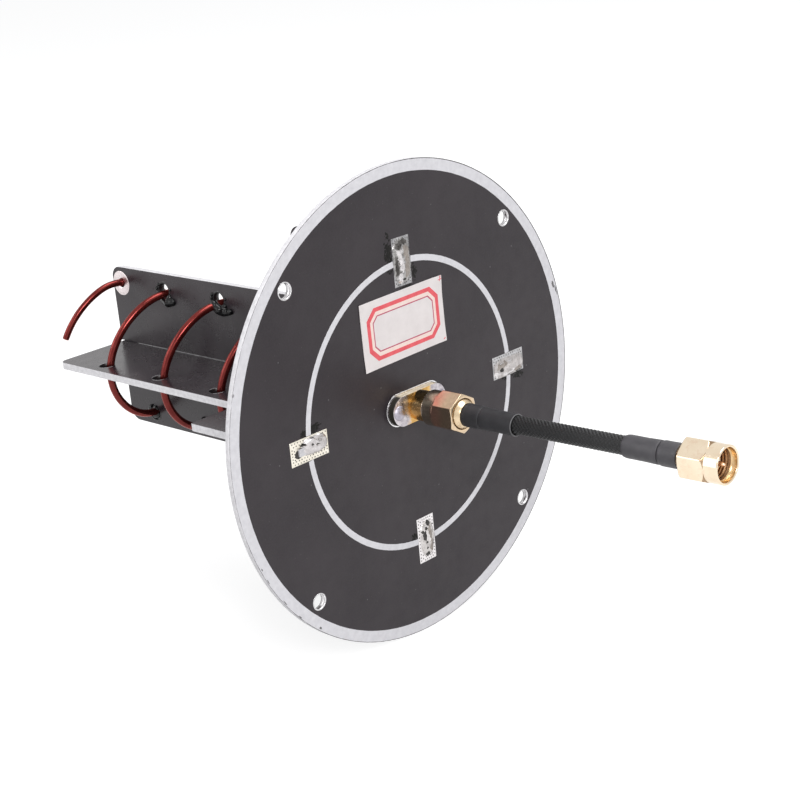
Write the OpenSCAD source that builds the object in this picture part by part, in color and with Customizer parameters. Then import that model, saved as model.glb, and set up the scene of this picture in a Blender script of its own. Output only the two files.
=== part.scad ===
// Helical antenna on a round reflector board, with a coaxial jumper on its jack.
// Millimetres. X is to the right, Y runs back along the helix, Z is up.
// The origin is the middle of the reflector's front face.

/* [Reflector] */
// Diameter of the round reflector board
reflector_diameter = 100; // [98:1:110]
// Thickness of the reflector board
reflector_thickness = 1.2; // [1:0.1:1.6]
// Distance from the reflector's edge to the middle of a rim hole
rim_hole_inset = 5; // [4:0.5:7]
// Diameter of a rim hole
rim_hole_diameter = 3.2; // [2.5:0.1:4]
// Distance from the axis to the middle of a board's tab
tab_radius = 30; // [28:0.5:33]
// Length of a board's tab along the reflector
tab_length = 6; // [5:0.5:7]
// Height of the solder on a tab, from the reflector's front
solder_height = 0.8; // [0.6:0.1:1]

/* [Support boards] */
// Thickness of the two crossed boards
board_thickness = 1.6; // [1.2:0.1:1.8]
// Distance from the helix's wire out to the level board's long edges
level_board_edge = 4.4; // [3.6:0.05:5]
// Distance from the helix's wire out to the upright board's long edges
upright_board_edge = 4.05; // [3.6:0.05:5]
// Distance from the reflector's front to the level board's free end
level_board_reach = 94.6; // [93:0.2:99]
// Distance from the reflector's front to the upright board's free end
upright_board_reach = 95.5; // [94.5:0.2:100]
// Length of the boards' wide bases, from the reflector's back
base_depth = 30; // [20:1:40]
// Diameter of the holes that the wire passes through
wire_hole_diameter = 3.6; // [3.4:0.1:3.8]

/* [Helix] */
// Diameter of the helix wire
wire_diameter = 1.6; // [1.2:0.1:1.7]
// Width of the helix, from wire centre to wire centre
helix_width = 31.2; // [30:0.2:32]
// Height of the helix, from wire centre to wire centre
helix_height = 30.4; // [29:0.2:31]
// Rise of the helix in one turn
helix_pitch = 19.3; // [18.5:0.1:19.5]

/* [Label] */
// Width of the label
label_width = 24; // [18:1:28]
// Height of the label
label_height = 14; // [10:0.5:14]
// Distance from the reflector's centre up to the label's centre
label_rise = 17.35; // [15:0.05:18]

/* [Jack] */
// Width of the jack's flange
flange_width = 6.4; // [6.4:0.1:7.5]
// Thickness of the jack's flange
flange_thickness = 1.6; // [1.4:0.1:2]
// Distance between the two rivets of the flange
rivet_spacing = 12.2; // [12:0.1:12.6]
// Distance from the middle of a rivet to the flange's end
flange_end = 1.8; // [1.7:0.1:2.4]
// Diameter of a rivet's shank
rivet_diameter = 2.2; // [1.8:0.1:2.4]
// Length of the jack's threaded barrel, from the flange
barrel_length = 8.3; // [7.5:0.1:9]
// Outer diameter of the coupling thread
thread_diameter = 6.35; // [6.2:0.05:6.4]

/* [Plugs] */
// Distance across the flats of a coupling nut
nut_across_flats = 7.4; // [7.3:0.1:8.2]
// Whole length of a coupling nut
nut_length = 8.4; // [8:0.1:9]
// Length of the round front of a coupling nut
nut_round_length = 2.7; // [2.4:0.1:3.4]
// Turn of the near nut's corners about the axis
near_nut_turn = 31; // [0:1:59]
// Turn of the far nut's corners about the axis
far_nut_turn = 38; // [0:1:59]
// Diameter of a plug's rear ferrule
ferrule_diameter = 6.1; // [6:0.05:6.2]
// Diameter of a plug's centre pin
pin_diameter = 0.92; // [0.9:0.01:1]

/* [Jumper] */
// Diameter of the coaxial cable
cable_diameter = 3.75; // [3.4:0.05:3.9]
// Diameter of the short tubes behind the ferrules
collar_diameter = 4.85; // [4.7:0.05:5.4]
// Length of the short tubes behind the ferrules
collar_length = 4.2; // [3.5:0.1:5]
// Diameter of the shrink sleeves on the cable
sleeve_diameter = 4.5; // [4.4:0.05:4.8]
// Length of the near shrink sleeve
near_sleeve_length = 8.3; // [7:0.1:9.5]
// Length of the far shrink sleeve
far_sleeve_length = 7.9; // [7:0.1:10]

/* [Hidden] */
$fn = 48;

// Clearances: a seated fit, a running fit, a board in its slot, and the cable in a shrink tube
seat = 0.02;
running = 0.05;
slot_clearance = 0.1;
tube_clearance = 0.12;
// Small overrun of a cut past a face
cut = 1;

// Boards
rim_hole_circle = reflector_diameter - 2 * rim_hole_inset;
level_board_width = helix_width + 2 * level_board_edge;
upright_board_width = helix_height + 2 * upright_board_edge;
tab_span = 2 * tab_radius + tab_length;
level_base_margin = 0.5;
upright_base_margin = 1.8;
level_base_corner = 0.4;
upright_base_corner = 2.8;
level_corner = 1.8;
upright_corner = 2.8;
tab_proud = 0.4;
interlock_reach = 48;
relief_width = 18;
relief_reach = 10;
level_hole_play = 0.4;
upper_hole_play = 0.2;
lower_hole_play = 0.5;
hole_room = (wire_hole_diameter - wire_diameter) / 2;
hole_lag = 0.2;

// Solder on the tabs, set a little towards the axis
solder_inset = 0.8;
solder_half_width = 2.2;
solder_overlap = 0.6;
solder_half_length = tab_length / 2 + solder_overlap;

// Helix: angles run from +X towards +Z and grow with Y. Its axis lies a little low, and the wire
// runs a little flatter between the boards than a true ellipse
helix_drop = 0.7;
helix_flat = 0.35;
full_turns = 4;
lead_angle = 225;
first_hole_angle = 270;
helix_join_angle = 240;
last_low_angle = first_hole_angle + 360 * full_turns;
last_hole_angle = last_low_angle + 180;
first_hole_reach = 8.85;
lead_reach = 6.4;
last_half_turn_rise = 6.25;
free_end_rise = 4.2;
free_end_turn = 70;
free_end_spread = 1.6;
last_hole_spread = 0.9;
spread_start_turn = 30;
spread_end_turn = 15;
wire_step = 10;
wire_sides = 12;
end_angle = last_hole_angle + free_end_turn;
last_low_reach = first_hole_reach + full_turns * helix_pitch;
last_hole_reach = last_low_reach + last_half_turn_rise;
wire_course = [
    [lead_angle, lead_reach],
    [first_hole_angle, first_hole_reach],
    [last_low_angle, last_low_reach],
    [last_hole_angle, last_hole_reach],
    [end_angle, last_hole_reach + free_end_rise]
];
spread_course = [
    [last_hole_angle - spread_start_turn, 0],
    [last_hole_angle, last_hole_spread],
    [last_hole_angle + spread_end_turn, free_end_spread],
    [end_angle, free_end_spread]
];
lead_start = 0.9;
lead_bend = 2.5;
lead_step = 3;
lead_bend_step = 18;
lead_radius = (helix_width + helix_height) / 4;
lead_out = [cos(lead_angle), 0, sin(lead_angle)];
lead_round = [-sin(lead_angle), 0, cos(lead_angle)];

// Glue beads on the upright board
bead_radius = 1.6;
bead_sink = 0.5;
bead_inward = 0.9;
bead_forward = 0.4;
bead_run = [1.8, 0.8];
bead_wire_clearance = 0.2;
bead_cut = 16;

// Feed joint behind the reflector
feed_radius = 2;
feed_clearance = 0.06;

// Label
label_thickness = 0.1;
label_shift = -1.1;
label_tilt = 1;

// Jack
contact_diameter = 1.27;
contact_reach = 7.2;
insulator_diameter = 4.1;
insulator_proud = 0.6;
insulator_reach = reflector_thickness + insulator_proud;
jack_counterbore = 4.65;
rivet_head = 3.2;
rivet_head_height = 0.7;
rivet_hole = rivet_diameter + 2 * running;
flange_length = rivet_spacing + 2 * flange_end;
jack_end = flange_thickness + barrel_length;

// Plug, along its own axis from the mouth of the nut
face_depth = 3;
shell_length = 1.9;
seat_depth = face_depth + shell_length;
gasket_thickness = 0.5;
shoulder_depth = seat_depth + gasket_thickness + 2 * seat;
shoulder_length = 0.56;
step_depth = shoulder_depth + shoulder_length + 2 * running;
ring_land = 0.2;
ring_width = 0.4;
ring_depth = step_depth + ring_land;
recess_depth = ring_depth + ring_width + ring_land;
ferrule_gap = 0.5;
ferrule_start = recess_depth + ferrule_gap;
ferrule_length = 2.1;
ferrule_depth = ferrule_start + ferrule_length;
ferrule_taper = 1.15;
ferrule_end_diameter = 4.9;
pin_tip_depth = 0.75;
shell_diameter = jack_counterbore - 2 * running;
thread_root_depth = 0.175;
shoulder_diameter = thread_diameter - 2 * thread_root_depth;
neck_diameter = 5;
dielectric_diameter = 3;
bead_length = 0.4;
bead_end_depth = shoulder_depth + bead_length;
ring_root_diameter = 4.38;
ring_outer_diameter = 5.6;
ring_gap = 1.2;
recess_diameter = thread_diameter + running;
nut_bore = thread_diameter + 2 * running;
nut_chamfer = 0.7;
mouth_chamfer = 0.15;
recess_cone = 0.4;
edge_chamfer = 0.15;
tube_gap = 0.1;
collar_depth = ferrule_depth + tube_gap;

// Jumper route from the near ferrule's end to the far one's: distance forward and rise
cable_route = [
    [0, 0], [3, 0], [6, 0], [9, 0.05], [12, 0.1], [15, 0.15], [18, 0.2], [21, 0.25], [24, 0.3],
    [27, 0.35], [30, 0.4], [33, 0.45], [36, 0.5], [39, 0.55], [42, 0.6], [45, 0.65], [48, 0.7], [51, 0.75]
];
cable_sides = 8;
cable_end = cable_route[len(cable_route) - 1];
cable_last_run = cable_end - cable_route[len(cable_route) - 2];
cable_tilt = atan2(cable_last_run[1], cable_last_run[0]);
near_mouth = jack_end - seat_depth;
near_ferrule_end = near_mouth + ferrule_depth;
far_ferrule_end = near_ferrule_end + cable_end[0];
far_rise = cable_end[1];
sleeve_bore = cable_diameter + 2 * tube_clearance;
sleeve_start = collar_depth + collar_length + tube_gap;

function unit(v) = v / norm(v);

function helix_point(a) =
    let (spread = lookup(a, spread_course) - helix_flat * pow(sin(2 * a), 2))
    [
        (helix_width / 2 + spread) * cos(a),
        lookup(a, wire_course),
        (helix_height / 2 + spread) * sin(a) - helix_drop
    ];

function lead_point(out, round) = out * lead_out + round * lead_round + [0, lead_reach, 0];

function lead_arc_point(a) =
    lead_point(lead_radius - lead_bend + lead_bend * sin(a), lead_bend - lead_bend * cos(a));

function wire_path() = concat(
    [for (d = [lead_start:lead_step:lead_radius - lead_bend - lead_step / 3]) lead_point(d, 0)],
    [for (a = [0:lead_bend_step:90]) lead_arc_point(a)],
    [for (a = [helix_join_angle:wire_step:end_angle]) helix_point(a)]
);

function cable_path() = [for (p = cable_route) [0, -near_ferrule_end - p[0], p[1]]];

function tangent(path, i) =
    unit(path[min(i + 1, len(path) - 1)] - path[max(i - 1, 0)]);

function ring_points(centre, along, side, radius, sides) =
    let (u = unit(cross(along, side)), v = cross(u, along))
    [for (k = [0:sides - 1]) centre + radius * (cos(360 * k / sides) * u + sin(360 * k / sides) * v)];

// A round tube along a path, with its rings turned by a fixed side direction
module sweep(path, radius, sides, side) {
    rings = [for (i = [0:len(path) - 1]) each ring_points(path[i], tangent(path, i), side, radius, sides)];
    last = (len(path) - 1) * sides;
    walls = [
        for (i = [0:len(path) - 2]) for (k = [0:sides - 1])
            let (a = i * sides + k, b = i * sides + (k + 1) % sides)
            [a, b, b + sides, a + sides]
    ];
    first_cap = [for (k = [sides - 1:-1:0]) k];
    last_cap = [for (k = [0:sides - 1]) last + k];
    polyhedron(points = rings, faces = concat([first_cap], walls, [last_cap]));
}

// Turn a shape that is built along +Z so that it runs back along +Y from a distance
module backwards(from) {
    translate([0, from, 0]) rotate([-90, 0, 0]) children();
}

// Turn a shape that is built along +Z so that it runs forward along -Y from a distance
module forwards(from) {
    translate([0, from, 0]) rotate([90, 0, 0]) children();
}

module at_near_plug() {
    forwards(-near_mouth) children();
}

module at_far_plug() {
    translate([0, -far_ferrule_end, far_rise]) rotate([-cable_tilt, 0, 0])
        backwards(-ferrule_depth) children();
}

module tube(outer, inner, from, to) {
    translate([0, 0, from]) difference() {
        cylinder(d = outer, h = to - from);
        translate([0, 0, -cut]) cylinder(d = inner, h = to - from + 2 * cut);
    }
}

// A length of shrink tube with eased ends, whose wall may thin towards its end
module shrink_tube(first, second, inner, from, to) {
    rotate_extrude() polygon([
        [inner / 2, from],
        [first / 2 - edge_chamfer, from],
        [first / 2, from + edge_chamfer],
        [second / 2, to - edge_chamfer],
        [second / 2 - edge_chamfer, to],
        [inner / 2, to]
    ]);
}

module reflector_board() {
    color("#3b393c") difference() {
        backwards(0) cylinder(d = reflector_diameter, h = reflector_thickness, $fn = 120);
        for (a = [45:90:315]) rotate([0, a, 0]) translate([rim_hole_circle / 2, 0, 0])
            backwards(-cut) cylinder(d = rim_hole_diameter, h = reflector_thickness + 2 * cut);
        for (a = [0:90:270]) rotate([0, a, 0])
            translate([tab_radius, reflector_thickness / 2, 0])
            cube([
                tab_length + 2 * slot_clearance,
                reflector_thickness + 2 * cut,
                board_thickness + 2 * slot_clearance
            ], center = true);
        backwards(-cut) cylinder(d = insulator_diameter + 2 * running, h = reflector_thickness + 2 * cut);
        for (s = [-1, 1]) translate([s * rivet_spacing / 2, 0, 0])
            backwards(-cut) cylinder(d = rivet_hole, h = reflector_thickness + 2 * cut);
    }
}

// Board outline: across the board, and back from the reflector to its free end
module rounded_end(width, reach, corner) {
    translate([-width / 2, reflector_thickness])
        square([width, reach - corner - reflector_thickness]);
    translate([-width / 2 + corner, reflector_thickness])
        square([width - 2 * corner, reach - reflector_thickness]);
    for (s = [-1, 1]) translate([s * (width / 2 - corner), reach - corner]) circle(r = corner);
}

module board_outline(width, reach, corner, base_margin, base_corner) {
    difference() {
        union() {
            rounded_end(width, reach, corner);
            rounded_end(tab_span + 2 * base_margin, reflector_thickness + base_depth, base_corner);
            for (s = [-1, 1]) translate([s * tab_radius - tab_length / 2, -tab_proud])
                square([tab_length, reflector_thickness + tab_proud + cut]);
        }
        translate([-relief_width / 2, reflector_thickness - cut])
            square([relief_width, relief_reach - reflector_thickness + cut]);
    }
}

module wire_hole(across, reach) {
    translate([across, reach + hole_lag]) circle(d = wire_hole_diameter);
}

// Slot for the other board, between two distances from the reflector's front
module cross_slot(from, to) {
    slot = board_thickness + 2 * slot_clearance;
    translate([-slot / 2, from]) square([slot, to - from]);
}

module level_support_board() {
    across = helix_width / 2 + hole_room - level_hole_play;
    color("#3b393c") linear_extrude(height = board_thickness, center = true) difference() {
        board_outline(
            level_board_width, level_board_reach, level_corner,
            level_base_margin, level_base_corner
        );
        cross_slot(relief_reach - cut, interlock_reach + seat);
        for (a = [360:360:last_hole_angle]) wire_hole(across, lookup(a, wire_course));
        for (a = [540:360:last_hole_angle]) wire_hole(-across, lookup(a, wire_course));
    }
}

module upright_support_board() {
    upper = helix_height / 2 - helix_drop + hole_room - upper_hole_play;
    lower = helix_height / 2 + helix_drop + hole_room - lower_hole_play;
    color("#3b393c") rotate([0, -90, 0])
        linear_extrude(height = board_thickness, center = true) difference() {
            board_outline(
                upright_board_width, upright_board_reach, upright_corner,
                upright_base_margin, upright_base_corner
            );
            cross_slot(interlock_reach - seat, upright_board_reach + cut);
            for (a = [450:360:last_hole_angle]) wire_hole(upper, lookup(a, wire_course));
            for (a = [first_hole_angle:360:last_hole_angle]) wire_hole(-lower, lookup(a, wire_course));
        }
}

// Low pillow of solder round a tab: two crossed round backs cut off at the reflector's front
module solder_mound() {
    across = (pow(solder_half_width, 2) + pow(solder_height, 2)) / (2 * solder_height);
    along = (pow(solder_half_length, 2) + pow(solder_height, 2)) / (2 * solder_height);
    reach = 2 * solder_half_length;
    difference() {
        translate([tab_radius - solder_inset, 0, 0]) intersection() {
            translate([0, across - solder_height, 0]) rotate([0, 90, 0])
                cylinder(r = across, h = reach, center = true, $fn = 180);
            translate([0, along - solder_height, 0])
                cylinder(r = along, h = reach, center = true, $fn = 360);
            translate([-reach / 2, -2 * solder_height, -reach / 2])
                cube([reach, 2 * solder_height, reach]);
        }
        translate([tab_radius, 0, 0]) cube([
            tab_length + 2 * seat,
            2 * (tab_proud + seat),
            board_thickness + 2 * seat
        ], center = true);
    }
}

module tab_solder() {
    color("#c9c8c8") for (a = [0:90:270]) rotate([0, a, 0]) solder_mound();
}

module helix_wire() {
    color("#96322a") sweep(wire_path(), wire_diameter / 2, wire_sides, [0, 1, 0]);
}

// Round cut along the wire where it passes the upright board
module wire_cut(angle, clearance) {
    ahead = unit(helix_point(angle + 1) - helix_point(angle - 1));
    turn = atan2(ahead[1], ahead[0]);
    translate(helix_point(angle)) rotate([0, 0, turn]) rotate([0, 90, 0])
        cylinder(r = wire_diameter / 2 + clearance, h = 4 * bead_radius, center = true);
}

// Glue on the left face of the upright board, next to one of its wire holes
module glue_bead(angle) {
    hole = helix_point(angle);
    inward = hole[2] > 0 ? -1 : 1;
    face = -board_thickness / 2 - seat;
    difference() {
        translate([face + bead_sink, hole[1] - bead_forward, hole[2] + inward * bead_inward]) union() {
            sphere(r = bead_radius);
            translate([0, -bead_run[0], inward * bead_run[1]]) sphere(r = bead_radius);
        }
        translate([face, hole[1] - bead_cut / 2, hole[2] - bead_cut / 2]) cube(bead_cut);
        wire_cut(angle, bead_wire_clearance);
    }
}

module glue_beads() {
    color("#17171a") for (a = [first_hole_angle + 180:180:last_low_angle]) glue_bead(a);
}

module feed_solder() {
    color("#c9c8c8") difference() {
        translate([0, lead_reach, 0] + lead_start * lead_out) sphere(r = feed_radius);
        backwards(0)
            cylinder(d = contact_diameter + 2 * feed_clearance, h = contact_reach + feed_clearance);
        translate([0, lead_reach, 0]) rotate([0, -lead_angle, 0])
            translate([lead_start - feed_clearance, 0, 0]) rotate([0, 90, 0])
            cylinder(d = wire_diameter + 2 * feed_clearance, h = 3 * feed_radius);
    }
}

module label() {
    color("#ece6e2") translate([label_shift, -label_thickness / 2, label_rise]) rotate([0, -label_tilt, 0])
        cube([label_width, label_thickness, label_height], center = true);
}

module jack_body() {
    color("#d9b876") difference() {
        union() {
            forwards(0) linear_extrude(height = flange_thickness) union() {
                square([flange_length - flange_width, flange_width], center = true);
                for (s = [-1, 1]) translate([s * (flange_length - flange_width) / 2, 0])
                    circle(d = flange_width);
            }
            forwards(0) cylinder(d = thread_diameter, h = jack_end);
        }
        forwards(cut) cylinder(d = insulator_diameter + 2 * seat, h = jack_end + 2 * cut);
        forwards(-near_mouth - face_depth) cylinder(d = jack_counterbore, h = jack_end);
        for (s = [-1, 1]) translate([s * rivet_spacing / 2, 0, 0])
            forwards(cut) cylinder(d = rivet_hole, h = flange_thickness + 2 * cut);
    }
}

module jack_insulator() {
    front = near_mouth + face_depth - seat;
    color("#f1efe9") backwards(-front)
        tube(insulator_diameter, contact_diameter + 2 * seat, 0, front + insulator_reach);
}

module jack_contact() {
    front = near_mouth + face_depth - seat;
    color("#d9b876") backwards(-front) difference() {
        cylinder(d = contact_diameter, h = front + contact_reach);
        translate([0, 0, -cut]) cylinder(d = pin_diameter + 2 * running, h = face_depth + cut);
    }
}

// Low round head that stands on a face, along +Z
module rivet_dome() {
    radius = (pow(rivet_head / 2, 2) + pow(rivet_head_height, 2)) / (2 * rivet_head_height);
    intersection() {
        translate([0, 0, rivet_head_height - radius]) sphere(r = radius);
        cylinder(d = rivet_head, h = rivet_head_height);
    }
}

module flange_rivets() {
    color("#cfd0d6") for (s = [-1, 1]) translate([s * rivet_spacing / 2, 0, 0]) union() {
        forwards(-flange_thickness) rivet_dome();
        backwards(reflector_thickness) rivet_dome();
        backwards(-flange_thickness)
            cylinder(d = rivet_diameter, h = flange_thickness + reflector_thickness);
    }
}

// Coupling nut along +Z from its mouth: round front, chamfered hexagon, stepped bore with a ring groove
module coupling_nut() {
    corner = nut_across_flats / cos(30) / 2;
    flat = nut_across_flats / 2;
    hex_length = nut_length - nut_round_length;
    color("#e3c48a") difference() {
        union() {
            rotate_extrude() polygon([
                [0, 0],
                [flat - edge_chamfer, 0],
                [flat, edge_chamfer],
                [flat, nut_round_length + edge_chamfer],
                [0, nut_round_length + edge_chamfer]
            ]);
            intersection() {
                translate([0, 0, nut_round_length]) cylinder(r = corner, h = hex_length, $fn = 6);
                rotate_extrude() polygon([
                    [0, nut_round_length],
                    [flat - edge_chamfer, nut_round_length],
                    [corner, nut_round_length + nut_chamfer],
                    [corner, nut_length - 2 * edge_chamfer],
                    [flat, nut_length],
                    [0, nut_length]
                ]);
            }
        }
        rotate_extrude() polygon([
            [0, -cut],
            [nut_bore / 2 + mouth_chamfer, -cut],
            [nut_bore / 2 + mouth_chamfer, 0],
            [nut_bore / 2, mouth_chamfer],
            [nut_bore / 2, step_depth],
            [neck_diameter / 2 + running, step_depth],
            [neck_diameter / 2 + running, ring_depth - running],
            [ring_outer_diameter / 2 + running, ring_depth - running],
            [ring_outer_diameter / 2 + running, ring_depth + ring_width + running],
            [neck_diameter / 2 + running, ring_depth + ring_width + running],
            [neck_diameter / 2 + running, recess_depth],
            [recess_diameter / 2, recess_depth + recess_cone],
            [recess_diameter / 2, nut_length + cut],
            [0, nut_length + cut]
        ]);
    }
}

// Plug body: thin front shell, shoulder, neck with a ring groove, tapered rear ferrule
module plug_body() {
    color("#d0a862") rotate_extrude() polygon([
        [insulator_diameter / 2 + seat, face_depth + seat],
        [shell_diameter / 2, face_depth + seat],
        [shell_diameter / 2, shoulder_depth],
        [shoulder_diameter / 2, shoulder_depth],
        [shoulder_diameter / 2, step_depth - 2 * running],
        [neck_diameter / 2, step_depth - 2 * running],
        [neck_diameter / 2, ring_depth - seat],
        [ring_root_diameter / 2, ring_depth - seat],
        [ring_root_diameter / 2, ring_depth + ring_width + seat],
        [neck_diameter / 2, ring_depth + ring_width + seat],
        [neck_diameter / 2, ferrule_start],
        [ferrule_diameter / 2, ferrule_start],
        [ferrule_diameter / 2, ferrule_depth - ferrule_taper],
        [ferrule_end_diameter / 2, ferrule_depth],
        [dielectric_diameter / 2 + seat, ferrule_depth],
        [dielectric_diameter / 2 + seat, bead_end_depth + seat],
        [insulator_diameter / 2 + seat, bead_end_depth + seat]
    ]);
}

module plug_insulator() {
    bore = pin_diameter / 2 + seat;
    color("#f1efe9") rotate_extrude() polygon([
        [bore, face_depth + seat],
        [insulator_diameter / 2, face_depth + seat],
        [insulator_diameter / 2, bead_end_depth],
        [dielectric_diameter / 2, bead_end_depth],
        [dielectric_diameter / 2, ferrule_depth],
        [bore, ferrule_depth]
    ]);
}

module plug_pin() {
    color("#d9b876") rotate_extrude() polygon([
        [0, pin_tip_depth],
        [pin_diameter / 4, pin_tip_depth],
        [pin_diameter / 2, pin_tip_depth + pin_diameter / 2],
        [pin_diameter / 2, ferrule_depth],
        [0, ferrule_depth]
    ]);
}

module plug_snap_ring() {
    color("#b9b6ae") difference() {
        tube(ring_outer_diameter, ring_root_diameter + 2 * seat, ring_depth, ring_depth + ring_width);
        translate([0, -ring_gap / 2, 0])
            cube([ring_outer_diameter, ring_gap, ring_depth + ring_width + cut]);
    }
}

module plug_gasket() {
    front = seat_depth + seat;
    color("#b5483c")
        tube(shoulder_diameter, shell_diameter + 2 * seat, front, front + gasket_thickness);
}

module near_nut() {
    at_near_plug() rotate([0, 0, near_nut_turn]) coupling_nut();
}

module near_body() {
    at_near_plug() plug_body();
}

module near_insulator() {
    at_near_plug() plug_insulator();
}

module near_pin() {
    at_near_plug() plug_pin();
}

module near_snap_ring() {
    at_near_plug() plug_snap_ring();
}

module near_gasket() {
    at_near_plug() plug_gasket();
}

// Collar over the cable's end, behind the ferrule
module cable_collar() {
    color("#232326") shrink_tube(
        collar_diameter, collar_diameter, sleeve_bore,
        collar_depth, collar_depth + collar_length
    );
}

// Sleeve over the cable next to a collar, a little wider where it starts
module cable_sleeve(length) {
    color("#38383c") shrink_tube(
        sleeve_diameter + edge_chamfer, sleeve_diameter, sleeve_bore,
        sleeve_start, sleeve_start + length
    );
}

module near_collar() {
    at_near_plug() cable_collar();
}

module near_sleeve() {
    at_near_plug() cable_sleeve(near_sleeve_length);
}

module coax_cable() {
    color("#1c1c1f") sweep(cable_path(), cable_diameter / 2, cable_sides, [1, 0, 0]);
}

module far_sleeve() {
    at_far_plug() cable_sleeve(far_sleeve_length);
}

module far_collar() {
    at_far_plug() cable_collar();
}

module far_nut() {
    at_far_plug() rotate([0, 0, -far_nut_turn]) coupling_nut();
}

module far_body() {
    at_far_plug() plug_body();
}

module far_insulator() {
    at_far_plug() plug_insulator();
}

module far_pin() {
    at_far_plug() plug_pin();
}

module far_snap_ring() {
    at_far_plug() plug_snap_ring();
}

module far_gasket() {
    at_far_plug() plug_gasket();
}

reflector_board();
level_support_board();
upright_support_board();
tab_solder();
helix_wire();
glue_beads();
feed_solder();
label();
jack_body();
jack_insulator();
jack_contact();
flange_rivets();
near_nut();
near_body();
near_insulator();
near_pin();
near_snap_ring();
near_gasket();
near_collar();
near_sleeve();
coax_cable();
far_sleeve();
far_collar();
far_nut();
far_body();
far_insulator();
far_pin();
far_snap_ring();
far_gasket();
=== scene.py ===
import math
import random

import bmesh
import bpy
from mathutils import Matrix, Vector, noise


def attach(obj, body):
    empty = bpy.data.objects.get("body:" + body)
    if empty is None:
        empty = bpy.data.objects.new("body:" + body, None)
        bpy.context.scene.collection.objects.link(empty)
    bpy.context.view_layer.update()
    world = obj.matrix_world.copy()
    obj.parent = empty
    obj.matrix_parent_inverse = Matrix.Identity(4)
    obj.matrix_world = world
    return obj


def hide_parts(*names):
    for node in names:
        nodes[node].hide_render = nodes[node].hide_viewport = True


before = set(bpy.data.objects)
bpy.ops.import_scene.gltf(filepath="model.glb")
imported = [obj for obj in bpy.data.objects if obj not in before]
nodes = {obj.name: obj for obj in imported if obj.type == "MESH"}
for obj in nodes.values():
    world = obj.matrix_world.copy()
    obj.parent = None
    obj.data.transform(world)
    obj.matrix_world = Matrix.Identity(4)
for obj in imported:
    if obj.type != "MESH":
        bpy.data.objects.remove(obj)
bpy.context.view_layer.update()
scene = bpy.context.scene
scene.view_settings.view_transform = "Standard"

MM = 0.001

# Without a seed, noise_vector follows the clock
noise.seed_set(3)

# Camera, from the photograph: place in millimetres and its right, down and forward directions

CAMERA_PLACE = Vector((-236.7385, -230.4495, 110.3505)) * MM
CAMERA_RIGHT = Vector((0.680108, -0.727851, -0.087671))
CAMERA_DOWN = Vector((-0.287225, -0.154519, -0.945318))
CAMERA_FORWARD = Vector((0.674504, 0.668099, -0.314146))

camera_data = bpy.data.cameras.new("photo_camera")
camera_data.sensor_fit = "HORIZONTAL"
camera_data.sensor_width = 36
camera_data.lens = 76.599
camera_data.clip_start = 0.01
camera_data.clip_end = 30
camera = bpy.data.objects.new("photo_camera", camera_data)
scene.collection.objects.link(camera)
axes = Matrix((CAMERA_RIGHT, -CAMERA_DOWN, -CAMERA_FORWARD)).transposed().to_4x4()
camera.matrix_world = Matrix.Translation(CAMERA_PLACE) @ axes
scene.camera = camera


# Mesh helpers: points in millimetres, pieces in metres

pieces = {}


def mesh_piece(name, points, faces, slot, replaces=None, body="antenna", smooth=True):
    """Makes a piece that rides on a body and may stand for a node."""
    mesh = bpy.data.meshes.new(name)
    mesh.from_pydata([Vector(p) * MM for p in points], [], faces)
    draft = bmesh.new()
    draft.from_mesh(mesh)
    bmesh.ops.recalc_face_normals(draft, faces=draft.faces)
    for face in draft.faces:
        face.smooth = smooth
    draft.to_mesh(mesh)
    draft.free()
    piece = bpy.data.objects.new(name, mesh)
    scene.collection.objects.link(piece)
    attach(piece, body)
    if replaces:
        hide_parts(replaces)
    pieces[name] = piece
    return piece


def number_faces(piece, numbers):
    """Sets which of its materials each face of a piece has."""
    for face, number in zip(piece.data.polygons, numbers):
        face.material_index = number


def sharpen(piece, degrees):
    """Marks the edges that turn more than this as sharp."""
    draft = bmesh.new()
    draft.from_mesh(piece.data)
    for edge in draft.edges:
        if len(edge.link_faces) == 2 and edge.calc_face_angle() > math.radians(degrees):
            edge.smooth = False
    draft.to_mesh(piece.data)
    draft.free()


def grid_faces(rows, columns, wrap=False, close=False, caps=False, start=0):
    """Quads of points listed row by row; rows may wrap, the last may join the first, or both be capped."""
    faces = []
    for i in range(rows if close else rows - 1):
        low, high = start + i * columns, start + (i + 1) % rows * columns
        for j in range(columns if wrap else columns - 1):
            k = (j + 1) % columns
            faces.append((low + j, low + k, high + k, high + j))
    if caps:
        last = start + (rows - 1) * columns
        faces += [tuple(range(start, start + columns)), tuple(range(last, last + columns))]
    return faces


def around(sides):
    return [2 * math.pi * k / sides for k in range(sides)]


def stack(rings, sides, place):
    """Points and faces of rings one above another, with capped ends; place(*ring, angle) gives a point."""
    points = [place(*ring, a) for ring in rings for a in around(sides)]
    return points, grid_faces(len(rings), sides, wrap=True, caps=True)


class Axis:
    """A straight axis in millimetres, with points at a distance along it, a radius and an angle."""

    def __init__(self, origin, along, side=(1, 0, 0)):
        self.origin = Vector(origin)
        self.along = Vector(along).normalized()
        self.side = Vector(side)
        self.up = self.along.cross(self.side)

    def at(self, u, r, a):
        return self.origin + self.along * u + (self.side * math.cos(a) + self.up * math.sin(a)) * r


JACK = Axis((0, 0, 0), (0, -1, 0))
NEAR = Axis((0, -5.0, 0), (0, -1, 0))
FAR = Axis((0, -74.9987, 0.9083), (0, 0.999861, -0.016664))


def lathe(axis, profile, sides, bump=None):
    """Points and faces of a closed profile of (u, r) turned about an axis; bump(u, r, a) moves the radius."""
    points = [axis.at(u, r + (bump(u, r, a) if bump else 0), a) for u, r in profile for a in around(sides)]
    return points, grid_faces(len(profile), sides, wrap=True, close=True)


def join(parts):
    points, faces = [], []
    for some, their in parts:
        start = len(points)
        points += some
        faces += [tuple(start + i for i in face) for face in their]
    return points, faces


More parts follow.
